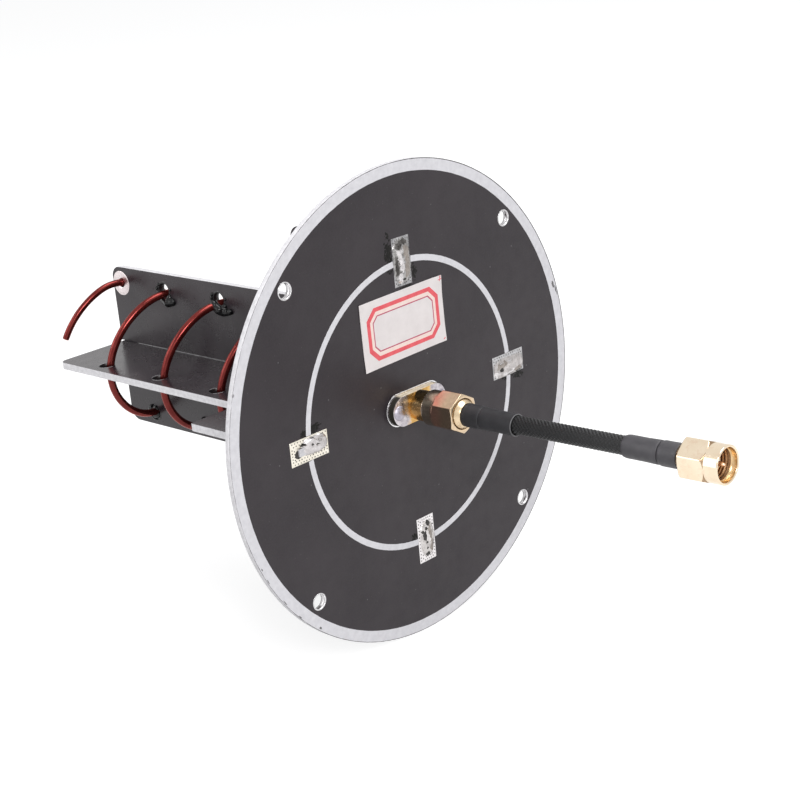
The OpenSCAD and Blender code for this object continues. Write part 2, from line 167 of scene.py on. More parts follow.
def smoothstep(low, high, x):
    t = min(max((x - low) / (high - low), 0), 1)
    return t * t * (3 - 2 * t)


def lookup(x, table):
    if x <= table[0][0]:
        return table[0][1]
    for (x0, y0), (x1, y1) in zip(table, table[1:]):
        if x <= x1:
            return y0 + (y1 - y0) * (x - x0) / (x1 - x0)
    return table[-1][1]


def uneven(x, y, z):
    return noise.noise(Vector((x, y, z)))


def wobble(a, size, shift, height):
    """Unevenness round a circle, which closes on itself."""
    return uneven(math.cos(a) * size + shift, math.sin(a) * size, height)


# Jumper cable: the route of the part's source, and a braided jacket along it

ROUTE = [
    (0, 0), (3, 0), (6, 0), (9, 0.05), (12, 0.1), (15, 0.15), (18, 0.2), (21, 0.25), (24, 0.3),
    (27, 0.35), (30, 0.4), (33, 0.45), (36, 0.5), (39, 0.55), (42, 0.6), (45, 0.65), (48, 0.7), (51, 0.75),
]
CABLE_LENGTH = ROUTE[-1][0]
NEAR_FERRULE_END = 14.5
CABLE_RADIUS = 1.875
# The stretch that shows between the shrink tubes, where the jacket is drawn finely
BARE_FROM, BARE_TO, BARE_STEP, HIDDEN_STEP = 10.5, 39.5, 0.1, 0.5
BRAID_STRANDS, BRAID_PITCH, BRAID_DEPTH, BRAID_SIDES = 14, 0.86, 0.15, 112


def braid_height(turn, along):
    """Height of the braid from 0 to 1: two crossing sets of strands, one over the other in turn."""
    a = BRAID_STRANDS * turn + along / BRAID_PITCH
    b = BRAID_STRANDS * turn - along / BRAID_PITCH
    over = (math.floor(a) + math.floor(b)) % 2 == 0
    across, lengthways = (a % 1, b % 1) if over else (b % 1, a % 1)
    return math.sin(math.pi * across) ** 0.6 * (0.5 + 0.5 * math.sin(math.pi * lengthways))


def make_cable():
    stations = [0.0]
    while stations[-1] < CABLE_LENGTH - 1e-6:
        d = stations[-1]
        stations.append(min(d + (BARE_STEP if BARE_FROM <= d < BARE_TO else HIDDEN_STEP), CABLE_LENGTH))
    points = []
    for d in stations:
        centre = Vector((0, -NEAR_FERRULE_END - d, lookup(d, ROUTE)))
        for k in range(BRAID_SIDES):
            turn = k / BRAID_SIDES
            r = CABLE_RADIUS - BRAID_DEPTH * (1 - braid_height(turn, d))
            a = 2 * math.pi * turn
            points.append(centre + Vector((math.cos(a), 0, math.sin(a))) * r)
    faces = grid_faces(len(stations), BRAID_SIDES, wrap=True, caps=True)
    mesh_piece("cable_jacket", points, faces, "cable_braid", "coax_cable")


make_cable()


# Shrink tubes, softly shouldered and a little uneven

TUBE_BORE = 1.995
# Axis, start and end along it, radius at both ends, seed, and the length and the drop of both end slopes
TUBES = {
    "near_collar": (NEAR, 9.6, 13.86, 2.425, 2.4, 3.0, (0.25, 0.1), (0.8, 0.1)),
    "near_sleeve": (NEAR, 13.9, 22.2, 2.325, 2.25, 11.0, (0.3, 0.06), (0.16, 0.12)),
    "far_collar": (FAR, 9.6, 13.8, 2.425, 2.425, 23.0, (0.25, 0.1), (0.6, 0.36)),
    "far_sleeve": (FAR, 13.9, 21.8, 2.325, 2.25, 31.0, (0.45, 0.28), (1.1, 0.22)),
}


def make_tube(node, axis, start, end, first, second, seed, head, tail):
    slope, steps, sides = 9, 26, 72

    def bump(u, r, a):
        if r <= TUBE_BORE + 0.06:
            return 0
        return -0.03 * abs(wobble(a, 1.1, seed, u * 0.45)) - 0.012 * abs(wobble(a, 3, seed, u * 1.6))

    bends = [math.pi / 2 * i / slope for i in range(slope)]
    rounding = [(1 - math.cos(a), 1 - math.sin(a)) for a in bends]
    profile = [(start, TUBE_BORE)]
    profile += [(start + head[0] * on, first - head[1] * down) for on, down in rounding]
    for i in range(steps + 1):
        t = i / steps
        u = start + head[0] + (end - start - head[0] - tail[0]) * t
        profile.append((u, first + (second - first) * smoothstep(0, 0.5, t)))
    profile += [(end - tail[0] * on, second - tail[1] * down) for on, down in rounding[::-1]]
    profile.append((end, TUBE_BORE))
    piece = mesh_piece(node + "_tube", *lathe(axis, profile, sides, bump), "shrink_tube", node)
    for face in piece.data.polygons[-(slope + 1) * sides:-sides]:
        face.material_index = 1


for tube_node, tube_shape in TUBES.items():
    make_tube(tube_node, *tube_shape)


# Threads: the jack's flange and barrel, the tinned outline round the flange, and the free nut's bore

THREAD_PITCH = 25.4 / 36
FLANGE_HALF, FLANGE_RADIUS = 4.7, 3.2
# Outlines of the flange and of its pad: distance in front of the reflector, and inset
FLANGE_RINGS = [(0.02, 0.12), (0.14, 0.0), (1.42, 0.0), (1.55, 0.06), (1.6, 0.2)]
FLANGE_PAD_RINGS = [(-0.01, -0.3), (0.03, -0.3), (0.055, -0.25), (0.055, 0.3), (-0.01, 0.3)]
BARREL_START, BARREL_END, BARREL_RADIUS, BARREL_STEPS, JACK_BORE = 1.5, 9.9, 3.175, 150, 2.07
SOCKET_START, SOCKET_RADIUS = 2.1, 2.33


def thread_wave(u, a):
    """A thread's depth from 0 at its crest to 1 at its root."""
    t = (u / THREAD_PITCH - a / (2 * math.pi)) % 1
    return smoothstep(0.1, 0.9, abs(2 * t - 1))


def stadium(u, inset, steps=24):
    """The flange's outline with round ends, in a plane in front of the reflector."""
    r = FLANGE_RADIUS - inset
    points = []
    for end in (1, -1):
        for i in range(steps + 1):
            a = -math.pi / 2 + math.pi * i / steps
            points.append(Vector((end * (FLANGE_HALF + r * math.cos(a)), -u, end * r * math.sin(a))))
    return points


def stadiums(rings, **ends):
    points = [p for ring in rings for p in stadium(*ring)]
    return points, grid_faces(len(rings), len(points) // len(rings), wrap=True, **ends)


def make_jack():
    def bump(u, r, a):
        if r < 3:
            return 0
        fade = smoothstep(5.1, 5.8, u) * smoothstep(9.85, 9.4, u)
        return -0.25 * thread_wave(u, a) * fade

    length = BARREL_END - BARREL_START
    profile = [(BARREL_START, JACK_BORE)]
    profile += [(BARREL_START + length * i / BARREL_STEPS, BARREL_RADIUS) for i in range(BARREL_STEPS + 1)]
    profile += [(BARREL_END, SOCKET_RADIUS), (SOCKET_START, SOCKET_RADIUS), (SOCKET_START - 0.05, JACK_BORE)]
    shape = join([stadiums(FLANGE_RINGS, caps=True), lathe(JACK, profile, 64, bump)])
    piece = mesh_piece("jack_shell", *shape, "gold_plate", "jack_body")
    for face in piece.data.polygons:
        if face.center.y < -1.62 * MM:
            face.material_index = 1
        elif abs(face.normal.y) < 0.45:
            face.material_index = 2
    sharpen(piece, 40)


def make_nut_thread():
    outer, inner, depth, first, last, steps, sides = 3.222, 2.95, 0.09, 1.3, 4.72, 90, 72

    def bump(u, r, a):
        if r > inner + 1e-6:
            return 0
        return depth * smoothstep(first + 0.35, first + 0.8, u) * thread_wave(u, a)

    entry = [(0.17, outer), (0.2, outer - 0.012), (first - 0.16, outer - 0.012), (first, inner + 0.06)]
    entry.append((first + 0.03, inner + 0.01))
    profile = entry + [(first + 0.08 + (last - first - 0.08) * i / steps, inner) for i in range(steps + 1)]
    shape = lathe(FAR, profile + [(last, outer)], sides, bump)
    piece = mesh_piece("free_nut_thread", *shape, "gold_plate", body="free_coupling_nut")
    # The bore's entry and its thread are painted shade: darker gold than the nut's outside, darkest on the
    # thread
    for face in piece.data.polygons[(len(entry) + 1) * sides:]:
        face.material_index = 1


make_jack()
mesh_piece("flange_pad", *stadiums(FLANGE_PAD_RINGS, close=True), "solder")
make_nut_thread()


# Coupling nuts: a round front and a hexagon with eased corners, cut back by a cone at each end

NUT_FLAT, NUT_EASE, NUT_SIXTH = 3.7, 0.4, math.pi / 6
# Half the angle that an eased corner takes up
NUT_BEND = NUT_SIXTH - math.atan((NUT_FLAT - NUT_EASE) * math.tan(NUT_SIXTH) / NUT_FLAT)
# The nut's surfaces as (distance from its mouth, radius)
NUT_CONE = [(2.85, 3.7), (3.4, 4.2724), (8.1, 4.2724), (8.4, 3.7)]
NUT_MOUTH = [(0.15, 3.225), (0.06, 3.3), (0.02, 3.36), (0.0, 3.43), (0.0, 3.5), (0.02, 3.58), (0.07, 3.65)]
NUT_REAR = [
    (8.4, 3.5), (8.4, 3.4), (8.38, 3.25), (8.33, 3.2), (7.3, 3.2), (6.9, 2.55), (6.75, 2.55), (6.75, 2.85),
    (6.25, 2.85), (6.25, 2.55), (6.1, 2.55), (6.1, 3.225),
]
# Distances of the rows on the outside: close together where the cones cut the hexagon
NUT_ROWS = [0.16, 0.25, 0.5, 1.0, 1.5, 2.0, 2.4, 2.7, 2.8] + [2.85 + 0.05 * i for i in range(14)]
NUT_ROWS += [3.65, 4.0, 4.6, 5.4, 6.2, 7.0, 7.6, 7.9, 8.0] + [8.05 + 0.04 * i for i in range(8)]
NUT_ROWS += [8.36, 8.38, 8.39]


def hexagon_radius(apart):
    """Radius of the hexagon at an angle from its nearest corner."""
    centre = (NUT_FLAT - NUT_EASE) / math.cos(NUT_SIXTH)
    if apart < NUT_BEND:
        return centre * math.cos(apart) + math.sqrt(NUT_EASE ** 2 - (centre * math.sin(apart)) ** 2)
    return NUT_FLAT / math.cos(NUT_SIXTH - apart)


def nut_side(u, a):
    """Radius of the nut's outside, and 1 where the front cone has cut a corner back."""
    hexagon = hexagon_radius(abs((a + NUT_SIXTH) % (2 * NUT_SIXTH) - NUT_SIXTH))
    cone = lookup(u, NUT_CONE)
    soft = 0.05 * smoothstep(2.85, 3.0, u)
    r = cone if u < 2.86 else 0.5 * (hexagon + cone - math.hypot(hexagon - cone, soft))
    r -= 0.16 * (1 - math.sqrt(1 - min(max((u - 8.22) / 0.17, 0), 1) ** 2))
    return r, int(2.84 < u < 3.38 and hexagon - cone > 0.02)


def make_nut(name, axis, turn, node, body):
    bend = math.degrees(NUT_BEND)
    corner = [-bend + 2 * bend * i / 8 for i in range(8)]
    flat = [bend + (60 - 2 * bend) * i / 14 for i in range(14)]
    angles = [math.radians(60 * k + e) for k in range(6) for e in corner + flat]
    rows = NUT_MOUTH + [(u, None) for u in NUT_ROWS] + NUT_REAR
    points, numbers = [], []
    for u, fixed in rows:
        for a in angles:
            r, number = (fixed, 0) if fixed else nut_side(u, a)
            points.append(axis.at(u, r, a + math.radians(turn)))
            numbers.append(number)
    faces = grid_faces(len(rows), len(angles), wrap=True, close=True)
    piece = mesh_piece(name, points, faces, "gold_plate", node, body)
    # Painted shade on the faces where the front cone cuts a corner back
    number_faces(piece, [numbers[corners[0]] for corners in faces])
    sharpen(piece, 35)


make_nut("near_nut_shell", NEAR, 31, "near_nut", "antenna")
make_nut("far_nut_shell", FAR, 22, "far_nut", "free_coupling_nut")


# Helix: the wire along the course of the part's source, with a fine round section

WIRE_RADIUS = 0.8
HELIX_HALF_WIDTH, HELIX_HALF_HEIGHT, HELIX_DROP, HELIX_FLAT = 15.6, 15.2, 0.7, 0.35
LEAD_ANGLE, LEAD_REACH, LEAD_START, LEAD_BEND, LEAD_RADIUS = math.radians(225), 6.4, 0.9, 2.5, 15.4
LEAD_WAY = Vector((math.cos(LEAD_ANGLE), 0, math.sin(LEAD_ANGLE)))
LEAD_ACROSS = Vector((-math.sin(LEAD_ANGLE), 0, math.cos(LEAD_ANGLE)))
# Angle in degrees against the place along the axis, and against how far the last turn is spread
WIRE_COURSE = [(225, 6.4), (270, 8.85), (1710, 86.05), (1890, 92.3), (1960, 96.5)]
SPREAD_COURSE = [(1860, 0), (1890, 0.9), (1905, 1.6), (1960, 1.6)]


def helix_point(angle):
    a = math.radians(angle)
    spread = lookup(angle, SPREAD_COURSE) - HELIX_FLAT * math.sin(2 * a) ** 2
    return Vector((
        (HELIX_HALF_WIDTH + spread) * math.cos(a),
        lookup(angle, WIRE_COURSE),
        (HELIX_HALF_HEIGHT + spread) * math.sin(a) - HELIX_DROP,
    ))


def lead_point(out, turn):
    return LEAD_WAY * out + LEAD_ACROSS * turn + Vector((0, LEAD_REACH, 0))


def wire_path():
    straight = LEAD_RADIUS - LEAD_BEND
    path = [lead_point(LEAD_START + (straight - LEAD_START) * i / 24, 0) for i in range(24)]
    for i in range(13):
        a = math.radians(90 * i / 12)
        path.append(lead_point(straight + LEAD_BEND * math.sin(a), LEAD_BEND * (1 - math.cos(a))))
    path += [helix_point(a) for a in range(240, 1961, 2)]
    for _ in range(6):
        inner = [path[i - 1] * 0.25 + path[i] * 0.5 + path[i + 1] * 0.25 for i in range(1, len(path) - 1)]
        path = [path[0]] + inner + [path[-1]]
    return path


def make_wire(sides=24):
    path = wire_path()
    points = []
    side = (path[1] - path[0]).normalized().cross(Vector((0, 1, 0))).normalized()
    for i, centre in enumerate(path):
        ahead = (path[min(i + 1, len(path) - 1)] - path[max(i - 1, 0)]).normalized()
        side = (side - ahead * side.dot(ahead)).normalized()
        up = ahead.cross(side)
        dent = 1.09 - 0.12 * smoothstep(90, 95, centre.y) - 0.03 * max(0, noise.noise(centre * 0.35))
        for a in around(sides):
            points.append(centre + (side * math.cos(a) + up * math.sin(a)) * WIRE_RADIUS * dent)
    faces = grid_faces(len(path), sides, wrap=True)
    faces.append(tuple(range(sides)))
    # The cut end: an eased rim and a tip
    end, ahead = path[-1], (path[-1] - path[-2]).normalized()
    rim = len(points)
    points += [end + (p - end) * 0.86 + ahead * 0.1 for p in points[-sides:]]
    tip = len(points)
    points.append(end + ahead * 0.13)
    faces += grid_faces(2, sides, wrap=True, start=rim - sides)
    faces += [(rim + k, rim + (k + 1) % sides, tip) for k in range(sides)]
    piece = mesh_piece("helix_coil", points, faces, "enamelled_wire", "helix_wire")
    for face in piece.data.polygons[-2 * sides:]:
        face.material_index = 1


make_wire()


# Glue at the upright board's holes, grown from blobs and turned into a mesh

GLUE_ANGLES = range(450, 1711, 180)
COVERED_ANGLES = (450, 1170)
# Blobs of a lump: out from the board, back along it and outward from the hole's middle, radius
UPPER_BLOBS = [
    (0.1, -0.2, -2.1, 1.05), (0.2, -1.5, -2.55, 1.2), (0.1, -2.7, -2.5, 0.9), (0.0, 0.7, -2.1, 0.75),
    (0.0, -1.9, -1.2, 0.6), (0.0, 2.3, 0.3, 0.5), (0.0, 1.9, 1.2, 0.42), (0.0, 2.2, -0.7, 0.55),
    (0.0, -2.2, 0.4, 0.32),
]
COVER_BLOBS = [(1.2, 0.3, -0.9, 1.15), (0.6, 1.6, -1.6, 0.9), (0.2, -3.7, -2.2, 0.75), (1.0, -0.9, -1.9, 1.1)]
LOWER_BLOBS = [
    (0.0, 0.9, -1.2, 0.95), (0.0, 1.7, -0.6, 0.7), (-0.1, -0.5, -1.4, 0.7), (0.3, 0.5, -0.5, 0.75),
    (-0.4, 0.2, 0.7, 1.0), (-0.4, -0.7, 0.3, 0.9), (0.0, 2.3, 0.3, 0.35),
]
# A blob's surface lies at this share of its radius, with this threshold
BLOB_SHARE, BLOB_THRESHOLD, BLOB_RESOLUTION = 0.61, 0.5, 0.16
HALF_BOARD = 0.8
UPPER_HOLE, LOWER_HOLE, LEVEL_HOLE, HOLE_LAG, HOLE_RADIUS = 15.3, -16.4, 16.2, 0.2, 1.8


def make_glue():
    blobs = bpy.data.metaballs.new("glue_blobs")
    blobs.resolution = BLOB_RESOLUTION
    blobs.render_resolution = BLOB_RESOLUTION
    blobs.threshold = BLOB_THRESHOLD
    for number, angle in enumerate(GLUE_ANGLES):
        upper = math.sin(math.radians(angle)) > 0
        shape, middle, outward = (UPPER_BLOBS, UPPER_HOLE, 1) if upper else (LOWER_BLOBS, LOWER_HOLE, -1)
        if angle in COVERED_ANGLES:
            shape = shape + COVER_BLOBS
        for i, (out, back, away, radius) in enumerate(shape):
            shift = noise.noise_vector(Vector((number * 3.1, i * 1.7, 0.5))) * 0.35
            blob = blobs.elements.new()
            blob.co = (
                -HALF_BOARD - out + 0.2 * shift.x,
                helix_point(angle).y + HOLE_LAG + back + shift.y,
                middle + outward * away + 0.6 * shift.z,
            )
            blob.radius = radius * (1 + 0.2 * uneven(number * 2.3, i * 4.1, 7.5)) / BLOB_SHARE
    holder = bpy.data.objects.new("glue_blobs", blobs)
    scene.collection.objects.link(holder)
    bpy.context.view_layer.update()
    mesh = bpy.data.meshes.new_from_object(holder.evaluated_get(bpy.context.evaluated_depsgraph_get()))
    points = [tuple(v.co) for v in mesh.vertices]
    faces = [tuple(p.vertices) for p in mesh.polygons]
    bpy.data.objects.remove(holder)
    bpy.data.metaballs.remove(blobs)
    bpy.data.meshes.remove(mesh)
    mesh_piece("glue_lumps", points, faces, "glue", "glue_beads")


make_glue()


# Wire holes: dark linings that paint the shade inside them, glue smeared round those of the upright board,
# chipped rims on the level one

SMEAR, BARE_RIM = 0.35, 0.05


def hole_axes():
    """The axis of every wire hole and whether it is in the upright board."""
    found = []
    for angle in range(270, 1891, 90):
        y = helix_point(angle).y + HOLE_LAG
        if angle % 180 == 90:
            z = UPPER_HOLE if angle % 360 == 90 else LOWER_HOLE
            found.append((Axis((0, y, z), (-1, 0, 0), (0, 1, 0)), True))
        else:
            x = LEVEL_HOLE if angle % 360 == 0 else -LEVEL_HOLE
            found.append((Axis((x, y, 0), (0, 0, 1)), False))
    return found


def make_linings():
    parts = []
    holes = hole_axes()
    for number, (axis, upright) in enumerate(holes):
        # The last hole has a tinned ring instead of glue
        flange = SMEAR if upright and number < len(holes) - 1 else BARE_RIM

        def bump(u, r, a, seed=number * 2.7):
            return 0 if r < HOLE_RADIUS + 0.02 else 0.25 * flange * wobble(a, 2, seed, 1.5)

        # Black walls are painted shade inside each hole; round the upright board's holes the flange stands
        # for smeared glue
        low, wall, high = HOLE_RADIUS - 0.07, HOLE_RADIUS - 0.01, HOLE_RADIUS + flange
        profile = [
            (-0.81, low), (0.81, low), (0.83, low + 0.03), (0.83, high - 0.02), (0.79, high),
            (0.79, wall), (-0.79, wall), (-0.79, high), (-0.83, high - 0.02), (-0.83, low + 0.03),
        ]
        parts.append(lathe(axis, profile, 48, bump))
    mesh_piece("hole_linings", *join(parts), "glue")


def make_chipped_rims():
    """Thin pale arcs where the level board's mask is chipped round its holes."""
    parts = []
    steps = 26
    for number, (axis, upright) in enumerate(hole_axes()):
        for arc in range(0 if upright else 2):
            first = 0.6 + 2.6 * arc + 1.2 * uneven(number * 1.9, arc * 3.3, 0.4)
            length = 1.5 + 0.7 * uneven(number * 2.2, arc * 1.3, 5.4)
            points = []
            for i in range(steps + 1):
                a = first + length * i / steps
                wide = 0.09 * math.sin(math.pi * i / steps) * (1 + 0.5 * uneven(a * 4, number, 2))
                section = ((1.86, 0.78), (1.87, 0.822), (1.9 + wide, 0.826), (1.92 + wide, 0.78))
                points += [axis.at(u, r, a) for r, u in section]
            parts.append((points, grid_faces(steps + 1, 4, wrap=True, caps=True)))
    mesh_piece("chipped_rims", *join(parts), "board")


def make_seam():
    """A thin pale line along the support boards' joint, on both sides above the level board."""
    parts = []
    steps, first, length = 160, 46, 44
    for side in (-1, 1):
        points = []
        for i in range(steps + 1):
            y = first + length * i / steps
            size = 0.17 * smoothstep(0, 0.06, i / steps) * smoothstep(1, 0.94, i / steps)
            size = 0.01 + size * (1 + 0.35 * uneven(y * 0.8, side, 0))
            for out, up in ((-0.02, size), (size * 0.55, size * 0.55), (size, -0.02), (-0.02, -0.02)):
                points.append(Vector((side * (HALF_BOARD + out), y, HALF_BOARD + up)))
        parts.append((points, grid_faces(steps + 1, 4, wrap=True, caps=True)))
    mesh_piece("seam_lines", *join(parts), "board")


make_linings()
make_chipped_rims()
make_seam()


# Feed joint: a lump of solder behind the reflector


def make_feed():
    lump = bmesh.new()
    bmesh.ops.create_icosphere(lump, subdivisions=5, radius=2)
    centre = Vector((0, LEAD_REACH, 0)) + LEAD_WAY * LEAD_START
    points = []
    for v in lump.verts:
        way = v.co.normalized()
        points.append(centre + way * (1.9 + 0.22 * noise.noise(way * 1.6) + 0.05 * noise.noise(way * 6)))
    faces = [tuple(v.index for v in f.verts) for f in lump.faces]
    lump.free()
    mesh_piece("feed_lump", points, faces, "solder", "feed_solder")


make_feed()


# Print, pads and solder on the reflector

PAD_RADIUS, PAD_LENGTH, PAD_WIDTH = 30, 10, 5
PAD_WAYS = {"left": (-1, 0), "right": (1, 0), "top": (0, 1), "bottom": (0, -1)}
# Thickness of the print, and how far its rim lies off the reflector's middle
PRINT, RIM_SHIFT = 0.03, -0.09


def pad_point(way, s, t, height):
    """A point on a pad: s out along the reflector's radius, t across it, height to the front."""
    dx, dz = way
    out = PAD_RADIUS + s
    return Vector((out * dx - t * dz, -height, out * dz + t * dx))


def flat_ring(inner, outer, ragged, step, first=0.0, last=360.0, seed=0.0):
    """A thin flat ring or arc of print on the reflector, with eased edges."""
    ease, back = 0.03, 0.01
    whole = last - first >= 360
    count = int((last - first) / step) + (0 if whole else 1)
    points = []
    for i in range(count):
        share = i / count if whole else i / (count - 1)
        a = math.radians(first + (last - first) * share)
        low = inner + ragged * wobble(a, 60, seed, 0.0)
        high = outer + ragged * wobble(a, 60, seed, 5.0)
        for r, y in ((low, back), (low + ease, -PRINT), (high - ease, -PRINT), (high, back)):
            points.append(Vector((r * math.cos(a), y, r * math.sin(a))))
    return points, grid_faces(count, 4, wrap=True, close=whole, caps=not whole)


def make_print():
    band, faces = flat_ring(47.5, 49.83, 0.05, 1.5)
    mesh_piece("rim_print", [p + Vector((RIM_SHIFT, 0, 0)) for p in band], faces, "board", smooth=False)
    gap = math.degrees(math.asin(2.56 / PAD_RADIUS))
    quarters = [(k * 90 + gap, k * 90 + 90 - gap, k * 9.0) for k in range(4)]
    arcs = [flat_ring(29.35, 30.65, 0.04, 1.0, *quarter) for quarter in quarters]
    mesh_piece("ring_print", *join(arcs), "board", smooth=False)


# Nicks in the printed rim: angle, radius, half length along the rim and half width
NICKS = [
    (14.4, 49.45, 0.9, 0.22), (15.9, 48.95, 0.95, 0.4), (13.2, 49.55, 0.6, 0.14),
    (-130.8, 49.35, 0.4, 0.24), (-152.8, 49.66, 0.7, 0.1), (-145.0, 49.6, 0.9, 0.1),
    (-156.6, 49.45, 0.35, 0.14), (-138.5, 49.66, 0.6, 0.1),
]


def make_nicks():
    parts = []
    for number, (angle, radius, half_long, half_wide) in enumerate(NICKS):

        def nick_point(share, height, a):
            ragged = share * (1 + 0.5 * wobble(a, 2, number * 3, 0.3))
            turn = math.radians(angle) + half_long * ragged * math.cos(a) / radius
            r = min(radius + half_wide * ragged * math.sin(a), 49.76)
            return Vector((r * math.cos(turn) + RIM_SHIFT, -height, r * math.sin(turn)))

        rings = ((1.0, PRINT - 0.01), (0.9, PRINT + 0.006), (0.5, PRINT + 0.004))
        parts.append(stack(rings, 18, nick_point))
    mesh_piece("rim_nicks", *join(parts), "board")


# Spatter of burnt flux beside the pads: middle, half sizes and number of flakes
FLUX = [
    (-3.6, 32.2, 1.2, 4.4, 150), (3.3, 27.0, 0.8, 2.0, 45), (0.6, 24.5, 1.6, 0.6, 35),
    (-28.0, 3.7, 1.7, 0.9, 85), (-31.0, 3.2, 0.9, 0.8, 40), (-29.3, 2.8, 1.5, 0.5, 40),
    (33.2, -3.2, 1.8, 0.9, 55), (29.4, -2.8, 2.2, 0.5, 35), (-3.5, -28.4, 0.9, 0.8, 45),
]


def make_flux():
    """Thin dark flakes, closer together towards the middle of each spatter."""
    pick = random.Random(11)
    parts = []
    for x, z, wide, tall, count in FLUX:
        for flake in range(count):
            way, far = pick.uniform(0, 2 * math.pi), pick.random() ** 0.8
            middle = Vector((x + wide * far * math.cos(way), 0, z + tall * far * math.sin(way)))
            size = pick.uniform(0.12, 0.42) * (1.15 - 0.6 * far)
            height, turn = pick.uniform(0.005, 0.012), pick.uniform(0, 9)

            def flake_point(share, rise, a):
                r = size * share * (1 + 0.5 * wobble(a, 1, turn, flake * 0.7))
                return middle + Vector((r * math.cos(a), -rise, r * math.sin(a)))

            parts.append(stack(((1.0, -0.004), (0.85, height)), 11, flake_point))
    mesh_piece("flux_stains", *join(parts), "board")


# Each joint: seed, the solder's middle and half length, its middle and half width across, its height and how
# steeply it starts, its pits as (s, t, radius) and its ridges as (s, t, s, t, half width, rise)
JOINTS = {
    "left": (
        4.0, -1.3, 3.5, -0.45, 1.8, 0.72, 0.6, [(1.7, -1.2, 0.5), (-0.4, -0.75, 0.34), (-1.8, -0.45, 0.25)],
        [(2.4, -1.55, -0.7, -1.85, 0.35, 0.3)],
    ),
    "right": (
        17.0, 0.1, 5.3, -0.55, 2.15, 0.58, 0.8, [],
        [
            (-1.9, -1.95, 1.2, -1.75, 0.3, 0.16), (-4.6, -0.9, -3.8, -1.0, 0.22, 0.2),
            (-4.6, -1.8, -3.7, -2.0, 0.22, 0.2),
        ],
    ),
    "top": (
        29.0, 0.1, 4.6, 0.0, 2.6, 0.62, 0.7, [(-0.5, 1.75, 0.7)],
        [(2.4, 1.15, -1.2, 0.3, 0.5, 0.3), (-2.6, 1.0, -4.0, 0.9, 0.4, 0.15)],
    ),
    "bottom": (
        41.0, -0.1, 3.9, 0.15, 1.95, 0.7, 0.6,
        [(-2.4, -0.35, 0.35), (-0.9, -0.86, 0.6), (0.95, -0.4, 0.25), (2.1, -0.4, 0.25)],
        [(-2.6, 0.5, 2.9, 0.9, 0.3, 0.2)],
    ),
}
# Patches with a metal of their own: a line from (s, t) to (s, t), half its width, the material's number;
# number 4 is a painted highlight, 6 painted shade, 5 a tan metal
PATCHES = {
    "left": [(2.4, -1.55, -0.7, -1.85, 0.35, 4)],
    "right": [
        (-3.4, 0.1, -1.6, 0.4, 0.6, 5), (-4.6, -1.3, -3.8, -1.5, 0.5, 4), (-1.9, -1.95, 1.2, -1.75, 0.35, 4),
        (2.2, -1.7, 3.6, -1.6, 0.5, 5),
    ],
    "top": [
        (2.4, -1.0, -2.6, -1.1, 0.8, 5), (0.6, 1.75, -2.0, 1.6, 0.55, 6), (2.2, 1.2, -1.3, 0.35, 0.62, 4),
        (-2.6, 1.0, -4.0, 0.9, 0.5, 4), (4.2, -1.2, 3.4, 1.4, 0.5, 6),
    ],
    "bottom": [(-2.4, 0.6, 2.9, 1.0, 0.45, 5)],
}
# Dark discs that paint the shade in the open ends of the slots and in deep pits on each pad: middle, half
# sizes and how much the outline wanders
SHADE_MOUTHS = {
    "left": [
        (2.95, 0.35, 1.0, 0.85, 0.1), (1.74, -1.25, 0.7, 0.3, 0.5), (-0.38, -0.74, 0.34, 0.24, 0.4),
        (-1.8, -0.45, 0.55, 0.09, 0.4),
    ],
    "right": [(-2.7, -0.72, 0.62, 0.36, 0.5), (2.9, -2.2, 0.9, 0.16, 0.6)],
    "top": [
        (-3.65, 0.0, 0.26, 0.6, 0.4), (-0.9, 1.8, 1.3, 0.26, 0.5), (3.9, -0.5, 0.5, 0.35, 0.7),
        (3.4, 0.4, 0.35, 0.18, 0.5),
    ],
    "bottom": [
        (-3.5, 0.35, 0.6, 0.62, 0.2), (3.3, -0.2, 0.65, 0.55, 0.4), (-0.9, -0.9, 1.1, 0.5, 0.6),
        (-1.9, -1.3, 0.36, 0.32, 0.4), (-2.4, -0.3, 0.4, 0.34, 0.4), (0.6, -0.45, 0.34, 0.32, 0.3),
        (1.9, -0.4, 0.3, 0.28, 0.3),
    ],
}
SOLDER_LENGTH, SOLDER_WIDTH = 9.6, 4.9


def from_line(s, t, s0, t0, s1, t1):
    """How far a place on a pad is from a line."""
    share = ((s - s0) * (s1 - s0) + (t - t0) * (t1 - t0)) / ((s1 - s0) ** 2 + (t1 - t0) ** 2)
    share = min(max(share, 0), 1)
    return math.hypot(s - s0 - share * (s1 - s0), t - t0 - share * (t1 - t0))


def solder_height(name, s, t):
    seed, middle, half, aside, wide, height, power, pits, ridges = JOINTS[name]
    ragged = 0.22 * uneven(s * 0.9 + seed, t * 0.9, 0.7)
    reach = 1 - (abs(s - middle) / half) ** 3.2 - (abs(t - aside) / wide) ** 2.6 + ragged
    if reach <= 0:
        return -0.02
    lumps = 0.16 * uneven(s * 0.75 + seed, t * 1.1, 3.3) + 0.06 * uneven(s * 2.1 + seed, t * 2.6, 9.1)
    crown = height * min(1, reach) ** power * (1 + lumps)
    for *line, across, rise in ridges:
        crown += rise * math.exp(-(from_line(s, t, *line) / across) ** 2) * min(1, 3 * reach)
    for ps, pt, pr in pits:
        crown -= 0.15 * math.exp(-((s - ps) ** 2 + (t - pt) ** 2) / (pr * pr))
    return max(crown, 0.02)


def patch_number(name, s, t):
    """The number of the patch's material at a place on a joint, or None."""
    found = None
    where = Vector((s, t, 0))

    def shift(reach, height):
        coarse = noise.noise(where * 1.2 + Vector((0, 0, height)))
        return reach * coarse + 0.25 * noise.noise(where * 4 + Vector((0, 0, height + 2)))

    s, t = s + shift(0.6, 1.1), t + shift(0.4, 6.1)
    for *line, half, number in PATCHES[name]:
        if from_line(s, t, *line) < half:
            found = number
    return found


